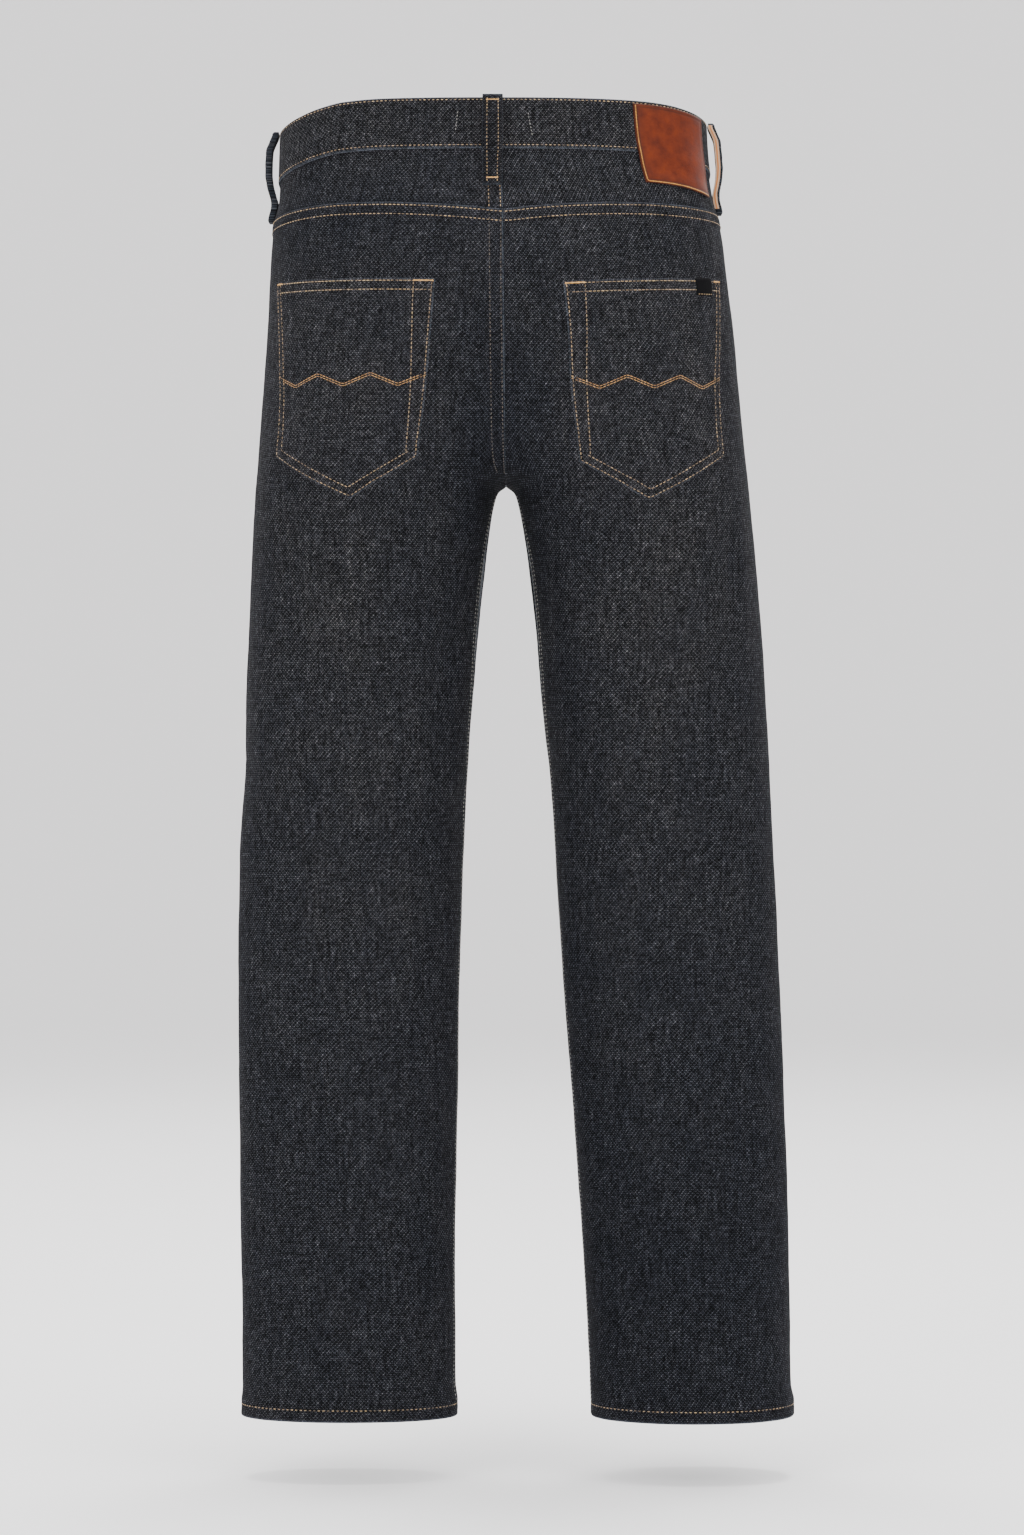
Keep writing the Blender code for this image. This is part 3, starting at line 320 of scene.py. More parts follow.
class WornForm:
    """The worn shape that every piece of cloth lies on.

    Each side's level sections are superellipses, cut where the two sides meet.
    """

    gap = 0.3 * MM
    steps = 320
    row_step = 1.0 * MM
    low = -1.046
    high = 0.036

    def __init__(self) -> None:
        """Tables both sides."""
        self.heights = np.arange(self.low, self.high, self.row_step)
        self.tables = {side: self._table(side) for side in Side}

    def size(self, name: str, height: np.ndarray) -> np.ndarray:
        """A section's named size at each height, in metres, or the plain exponent.

        Args:
            name: The size's name.
            height: Heights.

        Returns:
            The sizes, one for each height.
        """
        scale = 1.0 if name == "square" else CM
        values = SECTIONS[:, SECTION_NAMES.index(name)] * scale
        return monotone(SECTIONS[:, 0] * CM, values, height)

    def sizes(self, side: Side, height: np.ndarray) -> dict[str, np.ndarray]:
        """The section's sizes at each height, and the angle that it spans each way.

        Args:
            side: The side of the body.
            height: Heights.

        Returns:
            The sizes by name.
        """
        half = side.value
        outer = self.size(side.word, height)
        middle = self.size("middle", height) + half * self.gap / 2
        inner = self.size("middle", height) + half * self.size("apart", height)
        centre, width = (outer + inner) / 2, np.abs(outer - inner) / 2
        square = self.size("square", height)
        past = np.clip((centre - middle) * half / width, -1.0, 1.0)
        reach = math.pi - np.arccos(np.sign(past) * np.abs(past) ** (square / 2))
        return {
            "middle": middle, "centre": centre, "width": width, "power": 2.0 / square, "reach": reach,
            "depth": self.size(f"depth_{side.word}", height), "lean": self.size("lean", height),
        }

    @staticmethod
    def at_angle(side: Side, sizes: dict[str, np.ndarray], angle: np.ndarray, grow: Places) -> tuple:
        """X and Y of points at angles round sections, moved out and kept on their side of the middle.

        Args:
            side: The side of the body.
            sizes: The sections' sizes.
            angle: Angles round the sections.
            grow: How far each point stands out.

        Returns:
            X and Y.
        """
        across = np.sign(np.cos(angle)) * np.abs(np.cos(angle)) ** sizes["power"]
        along = np.sign(np.sin(angle)) * np.abs(np.sin(angle)) ** sizes["power"]
        half = side.value
        x = sizes["centre"] + half * (sizes["width"] + grow) * across
        x = sizes["middle"] + half * np.maximum((x - sizes["middle"]) * half, 0.0)
        return x, sizes["lean"] + (sizes["depth"] + grow) * along

    def _table(self, side: Side) -> dict[str, np.ndarray]:
        """One side's reach to the back and front at each tabled height, and its angle by share of reach.

        Args:
            side: The side of the body.

        Returns:
            The reaches and the angles by name.
        """
        sizes = self.sizes(side, self.heights[:, None])
        angle = sizes["reach"] * np.linspace(1.0, -1.0, self.steps + 1)[None, :]
        x, y = self.at_angle(side, sizes, angle, 0.0)
        length = np.hypot(np.diff(x, axis=1), np.diff(y, axis=1))
        total = np.concatenate([np.zeros((len(x), 1)), np.cumsum(length, axis=1)], axis=1)
        run = total[:, [self.steps // 2]] - total
        back, front = run[:, 0], -run[:, -1]
        share = np.linspace(-1.0, 1.0, self.steps + 1)
        angles = np.empty_like(angle)
        for i in range(len(x)):
            spots = np.where(share >= 0, share * back[i], share * front[i])
            angles[i] = np.interp(-spots, -run[i], angle[i])
        return {"back": back, "front": front, "angles": angles}

    def reaches(self, side: Side, height: Places) -> Pair:
        """Distances round from the side line to the back end and to the front end at each height.

        Args:
            side: The side of the body.
            height: Heights.

        Returns:
            The distances to the back end, and those to the front end.
        """
        table = self.tables[side]
        return (
            np.interp(height, self.heights, table["back"]),
            np.interp(height, self.heights, table["front"]),
        )

    def _angle(self, side: Side, along: np.ndarray, height: np.ndarray) -> np.ndarray:
        """The angle round the section at each distance round and height.

        Args:
            side: The side of the body.
            along: Distances round from the side line.
            height: Heights.

        Returns:
            The angles.
        """
        table = self.tables[side]
        place = np.clip((height - self.heights[0]) / self.row_step, 0, len(self.heights) - 1.001)
        row = place.astype(int)
        found = []
        for near in (row, row + 1):
            reach = np.where(along >= 0, table["back"][near], table["front"][near])
            spot = (np.clip(along / reach, -1.0, 1.0) + 1) / 2 * self.steps
            cell = np.clip(spot.astype(int), 0, self.steps - 1)
            angles = table["angles"]
            found.append(lerp(angles[near, cell], angles[near, cell + 1], spot - cell))
        return lerp(found[0], found[1], place - row)

    def folds(self, side: Side, along: np.ndarray, height: np.ndarray) -> np.ndarray:
        """How far the folds and the cloth's unevenness move it out at each point.

        Args:
            side: The side of the body.
            along: Distances round from the side line.
            height: Heights.

        Returns:
            Distances out.
        """
        depth = np.zeros_like(height)
        for values in LARGE_FOLDS + SMALL_FOLDS:
            row = dict(zip(FOLD_NAMES, values))
            if row["side"] != side.value:
                continue
            start = np.array((row["start_round"], row["start_height"])) * CM
            way = np.array((row["end_round"], row["end_height"])) * CM - start
            away = np.stack([along - start[0], height - start[1]], axis=-1)
            share = np.clip(away @ way / (way @ way), 0.0, 1.0)
            length = np.linalg.norm(way)
            waver = 0.18 * row["width"] * CM * np.sin(share * length / (2.6 * CM) + row["width"] * 9)
            side_way = np.array((-way[1], way[0])) / length
            off = away - share[..., None] * way
            off = np.linalg.norm(off, axis=-1) * np.sign(off @ side_way + 1e-12) - waver
            uneven = 1.0 + 0.18 * np.sin(share * length / (1.9 * CM) + row["end_round"])
            depth += row["depth"] * CM * uneven * bell(off, row["width"] * CM)
        u, v = along / CM, height / CM
        half = side.value
        soft = np.sin(0.71 * u + 0.33 * v + half) * np.sin(0.24 * v - 0.19 * u + 1.3)
        soft += 0.6 * np.sin(1.27 * u - 0.41 * v + 2.0 * half) * np.sin(0.53 * v + 0.37 * u)
        soft += 0.35 * np.sin(2.1 * u + 0.9 * v) * np.sin(1.15 * v - 0.8 * u + half)
        return depth + soft * 0.28 * MM * ease(-4.0 * CM, -9.0 * CM, height)

    def points(self, side: Side, along: Places, height: Places, grow: Places = 0.0) -> np.ndarray:
        """Points on the worn form.

        Args:
            side: The side they start from.
            along: Distances round from its side line. Past an end they carry on round the body or leg.
            height: Heights.
            grow: How far each point stands out.

        Returns:
            Points, with a last axis of three.
        """
        along, height, grow = np.broadcast_arrays(
            np.asarray(along, float), np.asarray(height, float), np.asarray(grow, float)
        )
        shape = along.shape
        along, height, grow = along.ravel().copy(), height.ravel().copy(), grow.ravel().copy()
        back, front = self.reaches(side, height)
        closed = self.size("apart", height) >= self.gap / 2
        past_back = (along > back + 1e-5) & ~closed
        past_front = (along < -front - 1e-5) & ~closed
        own = np.where(closed & (along > back), along - back - front, along)
        other = Side(-side.value)
        other_back, other_front = self.reaches(other, height)
        crossed = np.where(past_back, other_back - (along - back), -other_front - (along + front))
        made = np.empty((len(along), 3))
        over = past_back | past_front
        for half, chosen, spots in ((side, ~over, own), (other, over, crossed)):
            if not chosen.any():
                continue
            level, place = height[chosen], spots[chosen]
            out = grow[chosen] + self.folds(half, place, level)
            x, y = self.at_angle(half, self.sizes(half, level), self._angle(half, place, level), out)
            made[chosen] = np.stack([x, y, level], axis=-1)
        return made.reshape(shape + (3,))

    def edge(self, name: str, side: Side, share: np.ndarray) -> np.ndarray:
        """Height of the waistband's top edge or of the yoke seam at a share of the side."""
        values = EDGES[:, EDGE_NAMES.index(f"{name}_{side.word}")] * CM
        return monotone(EDGES[:, 0], values, np.clip(share, -1.0, 1.0))

    def band_top(self, side: Side, along: np.ndarray) -> np.ndarray:
        """Height of the waistband's top edge at distances round, measured at the waist."""
        back, front = self.reaches(side, 0.0)
        return self.edge("band", side, np.where(along > 0, along / back, along / front))

    def yoke_seam(self, side: Side, along: np.ndarray) -> np.ndarray:
        """Height of the yoke seam at distances round, measured at the yoke's level."""
        back, _ = self.reaches(side, Cut.yoke_level)
        return self.edge("yoke", side, along / back)

    def carried(self, side: Side, along: np.ndarray, height: np.ndarray) -> np.ndarray:
        """Waist distances carried up or down the cloth, so that they meet the seams at every height.

        Args:
            side: The side of the body.
            along: Distances round from the side line.
            height: Heights.

        Returns:
            Distances round.
        """
        back, front = self.reaches(side, 0.0)
        here_back, here_front = self.reaches(side, height)
        to_back = np.clip((along - Cut.stretch_start) / (back - Cut.stretch_start), 0.0, 1.5)
        to_front = np.clip((-along - Cut.stretch_start) / (front - Cut.stretch_start), 0.0, 1.5)
        return along + to_back * (here_back - back) - to_front * (here_front - front)

    def fade(self, side: Side, along: np.ndarray, height: np.ndarray) -> np.ndarray:
        """How much lighter or darker than plain the cloth is painted at each point: faded dye lightens it
        and painted shade darkens it.

        Args:
            side: The side of the body.
            along: Distances round from the side line.
            height: Heights.

        Returns:
            Changes of brightness.
        """
        tone = np.zeros_like(height)
        for half, place, level, width, tall, change in FADES_AND_SHADES:
            if half == side.value:
                across = (along / CM - place) / width
                up = (height / CM - level) / tall
                tone += change * np.exp(-(across**2) - up**2)
        return tone


class Cut:
    """Sizes that several pieces of the garment share."""

    wall = 1.4 * MM
    gap = 0.3 * MM
    band_wall = 3.0 * MM
    band_proud = 1.5 * MM
    band_height = 41 * MM
    pocket_wall = 1.3 * MM
    lap_proud = 0.8 * MM
    lap_width = 9.5 * MM
    seat_lap = 11.9 * MM
    hem = -103.4 * CM
    hem_height = 10.5 * MM
    hem_fold = 2.0 * MM
    hem_row_in = 0.7 * MM
    hem_pitch = 3.8 * MM
    crotch = -27.5 * CM
    yoke_level = -5.8 * CM
    side_forward = 8 * MM
    fly_overlap = 10 * MM
    fly_straight_end = -15.0 * CM
    fly_end = -19.0 * CM
    fly_row_top = -4.6 * CM
    fly_row_turn = -14.2 * CM
    scoop_share = 0.47
    scoop_depth = 70 * MM
    upright = 25.2 * CM
    stretch_start = 110 * MM
    seam_row = 2.1 * MM
    row_in = 0.9 * MM


# Distances in from a sewn edge at which a panel has a line of points.
EDGE_LINES = np.array((
    0.0, 0.35, 0.9, 1.6, 2.1, 2.6, 3.6, 5.2, 6.8, 8.0, 8.6, 9.2, 9.9, 10.5, 11.0, 11.5, 12.3, 13.5, 15.0,
)) * MM


# --------------------------------------------------------------------------------------------------------
# Finishes
# --------------------------------------------------------------------------------------------------------


class NodeSketch:
    """Writes one material's node tree with few words."""

    def __init__(self, name: str) -> None:
        """Starts a material with a Principled BSDF.

        Args:
            name: The material's name.
        """
        self.material = bpy.data.materials.new(name)
        self.material.use_nodes = True
        self.tree = self.material.node_tree
        self.shader = self.tree.nodes["Principled BSDF"]

    def set(self, node: bpy.types.Node, name: Union[str, int],
            value: Union[Number, Sequence[float]]) -> None:
        """Links a socket to the named input, or sets the input to a plain value.

        Args:
            node: The node.
            name: The input's name or number.
            value: A socket, a number or a row of numbers.
        """
        if isinstance(value, Socket):
            self.tree.links.new(value, node.inputs[name])
        else:
            node.inputs[name].default_value = value

    def node(self, kind: str, inputs: dict, output: Union[str, int] = 0, **options: str) -> Socket:
        """Adds a node.

        Args:
            kind: Its type, as the word after ShaderNode.
            inputs: What goes in, by the input's name or number.
            output: The name or number of the output that is handed on.
            options: The node's own settings.

        Returns:
            The output.
        """
        made = self.tree.nodes.new(f"ShaderNode{kind}")
        for option, choice in options.items():
            setattr(made, option, choice)
        for name, value in inputs.items():
            self.set(made, name, value)
        return made.outputs[output]

    def coordinates(self, uv: Optional[str] = None) -> Socket:
        """The named UV map, or the object's own coordinates."""
        return self.node("UVMap", {}, "UV", uv_map=uv) if uv else self.node("TexCoord", {}, "Object")

    def attribute(self, name: str) -> Socket:
        """A number kept on the mesh's points."""
        return self.node("Attribute", {}, "Fac", attribute_name=name)

    def math(self, operation: str, first: Number, second: Number = 0.0, third: Number = 0.0) -> Socket:
        """The result of a math operation on sockets or numbers."""
        return self.node("Math", {0: first, 1: second, 2: third}, operation=operation)

    def times(self, *factors: Number) -> Socket:
        """Numbers multiplied together, from the first to the last."""
        return functools.reduce(functools.partial(self.math, "MULTIPLY"), factors)

    def plus(self, *parts: Number) -> Socket:
        """Numbers added together, from the first to the last."""
        return functools.reduce(functools.partial(self.math, "ADD"), parts)

    def scaled(self, vector: Socket, scale: Colour) -> Socket:
        """A vector or colour multiplied part by part."""
        return self.node("VectorMath", {0: vector, 1: scale}, operation="MULTIPLY")

    def split(self, vector: Socket) -> tuple:
        """The X, Y and Z of a vector."""
        return tuple(self.node("SeparateXYZ", {0: vector}).node.outputs)

    def joined(self, x: Number, y: Number, z: Number = 0.0) -> Socket:
        """A vector from its parts."""
        return self.node("CombineXYZ", {0: x, 1: y, 2: z})

    def noise(self, vector: Socket, scale: float = 1.0, detail: float = 2.0, rough: float = 0.5) -> Socket:
        """Soft noise between 0 and 1."""
        inputs = {"Vector": vector, "Scale": scale, "Detail": detail, "Roughness": rough}
        return self.node("TexNoise", inputs, "Fac")

    def speckle(self, vector: Socket) -> Socket:
        """A random number for each whole-numbered place."""
        return self.node("TexWhiteNoise", {"Vector": vector}, "Value", noise_dimensions="3D")

    def ranged(self, value: Number, low: float, high: float, to_low: float, to_high: float) -> Socket:
        """A number moved from one range to another and held inside it."""
        inputs = {"Value": value, "From Min": low, "From Max": high, "To Min": to_low, "To Max": to_high}
        return self.node("MapRange", inputs, "Result")

    def swung(self, noise: Socket, swing: float) -> Socket:
        """A factor that noise swings evenly to both sides of 1."""
        return self.ranged(noise, 0.3, 0.7, 1 - swing, 1 + swing)

    def mixed(self, factor: Number, first: Colour, second: Colour) -> Socket:
        """A colour between two colours."""
        ends = [value if isinstance(value, Socket) else (*value, 1.0) for value in (first, second)]
        return self.node("Mix", {0: factor, 6: ends[0], 7: ends[1]}, 2, data_type="RGBA")

    def tinted(self, colour: Socket, factor: Number) -> Socket:
        """A colour multiplied by a number."""
        return self.node("VectorMath", {0: colour, "Scale": factor}, operation="SCALE")

    def bump(self, height: Socket, distance: float, strength: float = 1.0) -> None:
        """Presses a height pattern into the surface."""
        normal = self.node("Bump", {"Height": height, "Distance": distance, "Strength": strength})
        self.set(self.shader, "Normal", normal)

    def surface(self, **values: Union[Number, Colour]) -> bpy.types.Material:
        """Sets the shader's own inputs and hands the material out.

        Args:
            values: The inputs, by name with underscores for spaces.

        Returns:
            The material.
        """
        for name, value in values.items():
            self.set(self.shader, name.replace("_", " ").title().replace("Ior", "IOR"), value)
        return self.material


@dataclass(frozen=True)
class DenimFinish:
    """Right-hand twill of dark indigo warp over pale weft that shows as uneven flecks, with worn edges."""

    name: str = "denim"
    warp_pitch: float = 0.42 * MM
    weft_pitch: float = 0.50 * MM
    twill: float = 4.0
    fleck: float = 3.0 * MM
    dark: tuple = (0.0048, 0.0050, 0.0062)
    indigo: tuple = (0.0146, 0.0152, 0.0180)
    weft: tuple = (0.076, 0.0755, 0.0775)
    worn: tuple = (0.125, 0.150, 0.188)
    back_face: tuple = (0.200, 0.215, 0.235)
    # Hue tints: random blotches and bands swing the cloth between them, painted shade pulls it towards the
    # cool one and faded dye towards the warm one.
    cool: tuple = (0.95, 0.98, 1.10)
    warm: tuple = (1.04, 1.00, 0.97)
    tone: float = 1.0

    def threads(self, sketch: NodeSketch, place: Socket) -> tuple:
        """The number of the warp thread and of the weft thread at each point, and each one's profile.

        Args:
            sketch: What writes the node tree.
            place: The coordinates that the pattern follows.

        Returns:
            The two threads' numbers, and their two profiles.
        """
        u, v, _ = sketch.split(place)
        waver = sketch.noise(sketch.scaled(place, (220.0, 90.0, 1.0)), detail=1.0)
        across = sketch.math("DIVIDE", sketch.math("MULTIPLY_ADD", waver, 0.5 * MM, u), self.warp_pitch)
        up = sketch.math("DIVIDE", sketch.math("MULTIPLY_ADD", waver, 0.6 * MM, v), self.weft_pitch)
        numbers = sketch.math("FLOOR", across), sketch.math("FLOOR", up)
        return numbers, (sketch.math("PINGPONG", across, 0.5), sketch.math("PINGPONG", up, 0.5))

    def uneven(self, sketch: NodeSketch, place: Socket) -> Socket:
        """What the uneven yarns show from a step away: upright streaks, level dashes and grains.

        Args:
            sketch: What writes the node tree.
            place: The coordinates that the pattern follows.

        Returns:
            A factor for the brightness.
        """
        u, v, _ = sketch.split(place)
        row = sketch.math("DIVIDE", v, self.fleck / 2)
        waver = sketch.noise(sketch.scaled(place, (60.0, 60.0, 1.0)), detail=1.0)
        column = sketch.plus(sketch.math("DIVIDE", u, self.fleck), sketch.times(waver, 2.0))
        column = sketch.math("MULTIPLY_ADD", sketch.math("FLOOR", row), 0.5, column)
        dots = sketch.times(sketch.math("PINGPONG", column, 0.5), sketch.math("PINGPONG", row, 0.5))
        gain = sketch.ranged(dots, 0.02, 0.16, 0.28, 2.05)
        streaks, dashes, grains = (300.0, 70.0, 1.0), (100.0, 320.0, 1.0), (330.0, 310.0, 1.0)
        for scale, swing in ((streaks, 0.26), (dashes, 0.22), (grains, 0.50)):
            noise = sketch.noise(sketch.scaled(place, scale), detail=1.0)
            gain = sketch.times(gain, sketch.swung(noise, swing))
        return gain

    def edge(self, sketch: NodeSketch, place: Socket) -> Socket:
        """How worn a fold edge is: slanting dots where its roping has rubbed.

        Args:
            sketch: What writes the node tree.
            place: The coordinates that the pattern follows.

        Returns:
            A share from 0 to 1.
        """
        u, v, _ = sketch.split(place)
        slant = sketch.math("DIVIDE", sketch.plus(u, v), 1.35 * MM)
        dots = sketch.ranged(sketch.math("PINGPONG", slant, 0.5), 0.12, 0.34, 0.0, 1.0)
        chance = sketch.speckle(sketch.joined(sketch.math("FLOOR", slant), 3.0))
        dots = sketch.times(dots, sketch.ranged(chance, 0.0, 1.0, 0.15, 1.0))
        return sketch.times(sketch.attribute("wear"), dots)

    def material(self) -> bpy.types.Material:
        """Builds the finish.

        Returns:
            The material.
        """
        sketch = NodeSketch(self.name)
        place = sketch.coordinates("cloth")
        (warp_index, weft_index), (warp_round, weft_round) = self.threads(sketch, place)
        step = sketch.math("SUBTRACT", warp_index, weft_index)
        weft_up = sketch.math("LESS_THAN", sketch.math("FLOORED_MODULO", step, self.twill), 0.5)
        streak = sketch.noise(sketch.scaled(place, (900.0, 30.0, 1.0)), detail=3.0, rough=0.6)
        slub = sketch.noise(sketch.scaled(place, (36.0, 900.0, 1.0)), detail=3.0, rough=0.6)
        pepper = sketch.noise(sketch.scaled(place, (820.0, 760.0, 1.0)), detail=2.0, rough=0.6)
        u, v, _ = sketch.split(place)
        line = sketch.math("SUBTRACT", u, v)
        ridges = sketch.noise(sketch.joined(sketch.times(line, 640.0), sketch.times(v, 60.0)), detail=1.0)
        blotch = sketch.noise(sketch.scaled(place, (26.0, 17.0, 1.0)), detail=2.0)
        bands = sketch.noise(sketch.scaled(place, (230.0, 7.0, 1.0)), detail=3.0, rough=0.6)
        grain = sketch.speckle(sketch.joined(warp_index, weft_index))
        floats = sketch.math("FLOOR", sketch.math("DIVIDE", step, self.twill))
        shade = sketch.speckle(sketch.joined(warp_index, floats, 7.0))
        warp = sketch.mixed(sketch.ranged(streak, 0.3, 0.7, 0.0, 1.0), self.dark, self.indigo)
        warp = sketch.tinted(warp, sketch.ranged(shade, 0.0, 1.0, 0.75, 1.25))
        show = sketch.times(weft_up, sketch.math("POWER", grain, 0.7))
        show = sketch.times(show, sketch.ranged(slub, 0.3, 0.72, 0.45, 1.45))
        cloth = sketch.mixed(show, warp, self.weft)
        gain = sketch.times(
            sketch.swung(pepper, 0.25), sketch.swung(streak, 0.20), sketch.swung(slub, 0.10),
            sketch.swung(ridges, 0.26), self.uneven(sketch, place), sketch.swung(blotch, 0.07),
            sketch.swung(bands, 0.14),
        )
        # The mesh's fading number lightens the cloth where the dye is faded and darkens it with painted
        # shade; its darker end also cools the hue.
        fade = sketch.attribute("fade")
        cloth = sketch.tinted(cloth, sketch.times(gain, sketch.plus(fade, self.tone)))
        hue = sketch.math("MULTIPLY_ADD", sketch.plus(blotch, bands), 0.5, sketch.times(fade, 1.1))
        hue = sketch.ranged(hue, 0.15, 0.80, 0.0, 1.0)
        cloth = sketch.scaled(cloth, sketch.mixed(hue, self.cool, self.warm))
        cloth = sketch.mixed(self.edge(sketch, place), cloth, self.worn)
        reverse = sketch.tinted(
            sketch.mixed(weft_up, self.back_face, self.indigo), sketch.ranged(slub, 0.3, 0.7, 0.8, 1.15)
        )
        cloth = sketch.mixed(sketch.attribute("inside"), cloth, reverse)
        over = sketch.times(warp_round, sketch.math("SUBTRACT", 1.0, weft_up))
        under = sketch.times(weft_round, sketch.times(weft_up, 0.7))
        height = sketch.plus(over, under, sketch.times(pepper, 1.2))
        sketch.bump(height, 0.20 * MM, 0.6)
        return sketch.surface(base_color=cloth, roughness=0.95, specular_ior_level=0.06)


@dataclass(frozen=True)
class ThreadFinish:
    """Twisted sewing thread."""

    name: str
    colour: tuple
    shadow: tuple

    def material(self) -> bpy.types.Material:
        """Builds the finish.

        Returns:
            The material.
        """
        sketch = NodeSketch(self.name)
        place = sketch.coordinates()
        tone = sketch.noise(place, 300.0, 2.0)
        ply = sketch.noise(place, 2600.0, 1.0)
        colour = sketch.mixed(sketch.ranged(tone, 0.35, 0.65, 0.0, 1.0), self.shadow, self.colour)
        sketch.bump(ply, 0.10 * MM, 0.6)
        return sketch.surface(base_color=colour, roughness=0.55, specular_ior_level=0.35, sheen_weight=0.1)


@dataclass(frozen=True)
class LeatherFinish:
    """Red-brown leather, mottled and darker at its rim."""

    name: str = "patch_leather"
    light: tuple = (0.128, 0.0185, 0.0018)
    deep: tuple = (0.056, 0.0062, 0.0008)
    rubbed: tuple = (0.035, 0.010, 0.005)

    def material(self) -> bpy.types.Material:
        """Builds the finish.

        Returns:
            The material.
        """
        sketch = NodeSketch(self.name)
        place = sketch.coordinates("cloth")
        cloud = sketch.noise(place, 85.0, 4.0, 0.6)
        pores = sketch.noise(place, 1500.0, 3.0, 0.7)
        creases = sketch.noise(sketch.scaled(place, (260.0, 420.0, 1.0)), 1.0, 4.0, 0.65)
        colour = sketch.mixed(sketch.ranged(cloud, 0.34, 0.66, 0.15, 0.95), self.deep, self.light)
        colour = sketch.mixed(sketch.ranged(creases, 0.52, 0.70, 0.0, 0.30), colour, self.deep)
        colour = sketch.mixed(sketch.times(sketch.attribute("wear"), 0.75), colour, self.rubbed)
        sketch.bump(sketch.plus(pores, sketch.times(creases, 1.5)), 0.25 * MM, 0.5)
        rough = sketch.ranged(cloud, 0.3, 0.7, 0.42, 0.58)
        return sketch.surface(base_color=colour, roughness=rough, specular_ior_level=0.14)


@dataclass(frozen=True)
class TapeFinish:
    """A narrow woven tape with fine cross ribs."""

    name: str
    colour: tuple
    light: tuple
    rib: float = 0.35 * MM

    def material(self) -> bpy.types.Material:
        """Builds the finish.

        Returns:
            The material.
        """
        sketch = NodeSketch(self.name)
        place = sketch.coordinates("cloth")
        u, v, _ = sketch.split(place)
        ribs = sketch.math("PINGPONG", sketch.math("DIVIDE", v, self.rib), 0.5)
        threads = sketch.math("PINGPONG", sketch.math("DIVIDE", u, self.rib * 0.8), 0.5)
        fibre = sketch.noise(place, 1900.0, 2.0)
        colour = sketch.mixed(sketch.times(ribs, fibre), self.colour, self.light)
        sketch.bump(sketch.plus(ribs, sketch.times(threads, 0.5)), 0.15 * MM, 0.7)
        return sketch.surface(base_color=colour, roughness=0.8, specular_ior_level=0.05)


@dataclass(frozen=True)
class BrassFinish:
    """Aged copper-toned metal, rubbed bright in patches."""

    name: str = "aged_brass"
    bright: tuple = (0.560, 0.330, 0.170)
    dull: tuple = (0.180, 0.095, 0.050)

    def material(self) -> bpy.types.Material:
        """Builds the finish.

        Returns:
            The material.
        """
        sketch = NodeSketch(self.name)
        place = sketch.coordinates()
        patina = sketch.noise(place, 420.0, 4.0, 0.65)
        scratches = sketch.noise(sketch.scaled(place, (3000.0, 900.0, 400.0)), 1.0, 2.0)
        colour = sketch.mixed(sketch.ranged(patina, 0.35, 0.65, 0.0, 1.0), self.dull, self.bright)
        rough = sketch.ranged(patina, 0.3, 0.7, 0.52, 0.30)
        sketch.bump(scratches, 0.04 * MM, 0.5)
        return sketch.surface(base_color=colour, roughness=rough, metallic=1.0)


class Wardrobe:
    """Makes each finish once and hands it out."""

    threads = {
        Thread.TAN: ThreadFinish("thread_tan", (0.520, 0.360, 0.185), (0.090, 0.058, 0.030)),
        Thread.GOLD: ThreadFinish("thread_gold", (0.700, 0.400, 0.125), (0.330, 0.170, 0.048)),
        Thread.CREAM: ThreadFinish("thread_cream", (0.330, 0.320, 0.290), (0.170, 0.165, 0.150)),
        Thread.DIM: ThreadFinish("thread_dim", (0.130, 0.100, 0.070), (0.040, 0.030, 0.022)),
        Thread.OCHRE: ThreadFinish("thread_ochre", (0.480, 0.220, 0.030), (0.280, 0.120, 0.018)),
    }

    def __init__(self) -> None:
        """Builds every material of the garment."""
        self.denim = DenimFinish().material()
        self.pocket_denim = DenimFinish("pocket_denim", tone=1.07).material()
        self.loop_denim = DenimFinish("loop_denim", tone=0.72).material()
        self.leather = LeatherFinish().material()
        self.label = TapeFinish("label_tape", (0.0016, 0.0016, 0.0019), (0.0110, 0.0110, 0.0125)).material()
        self.zip = TapeFinish("zip_tape", (0.012, 0.015, 0.026), (0.045, 0.052, 0.075)).material()
        self.selvedge = TapeFinish("selvedge", (0.500, 0.330, 0.220), (0.680, 0.480, 0.340),
                                   0.5 * MM).material()
        self.selvedge_line = TapeFinish("selvedge_line", (0.560, 0.200, 0.060),
                                        (0.640, 0.270, 0.100)).material()
        self.brass = BrassFinish().material()
        self.thread = {name: finish.material() for name, finish in self.threads.items()}


# --------------------------------------------------------------------------------------------------------
# Making pieces
# --------------------------------------------------------------------------------------------------------


def dress(piece: bpy.types.Object, material: bpy.types.Material,
          nodes: Sequence[str] = ()) -> None:
    """Gives a piece its material and says what it rides on and which frame nodes it replaces.

    Args:
        piece: The new piece.
        material: Its material.
        nodes: The frame's nodes that it stands for.
    """
    piece.data.materials.clear()
    piece.data.materials.append(material)
    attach(piece, "root")
    if nodes:
        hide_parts(*nodes)


def linked(name: str, data: bpy.types.ID) -> bpy.types.Object:
    """Links a new object to the scene.

    Args:
        name: The object's name.
        data: Its mesh, light or camera.

    Returns:
        The object, at the origin.
    """
    made = bpy.data.objects.new(name, data)
    bpy.context.scene.collection.objects.link(made)
    return made


def mesh_object(name: str, points: np.ndarray, faces: np.ndarray, crease: float = 50.0) -> bpy.types.Object:
    """Links a new smooth-shaded mesh object.

    Args:
        name: The object's name.
        points: Its points.
        faces: Its faces, one row each.
        crease: Edges bent by more than this many degrees stay sharp.

    Returns:
        The object, at the origin.
    """
    mesh = bpy.data.meshes.new(name)
    mesh.from_pydata(points.tolist(), [], faces.tolist())
    mesh.shade_smooth()
    mesh.set_sharp_from_angle(angle=math.radians(crease))
    return linked(name, mesh)


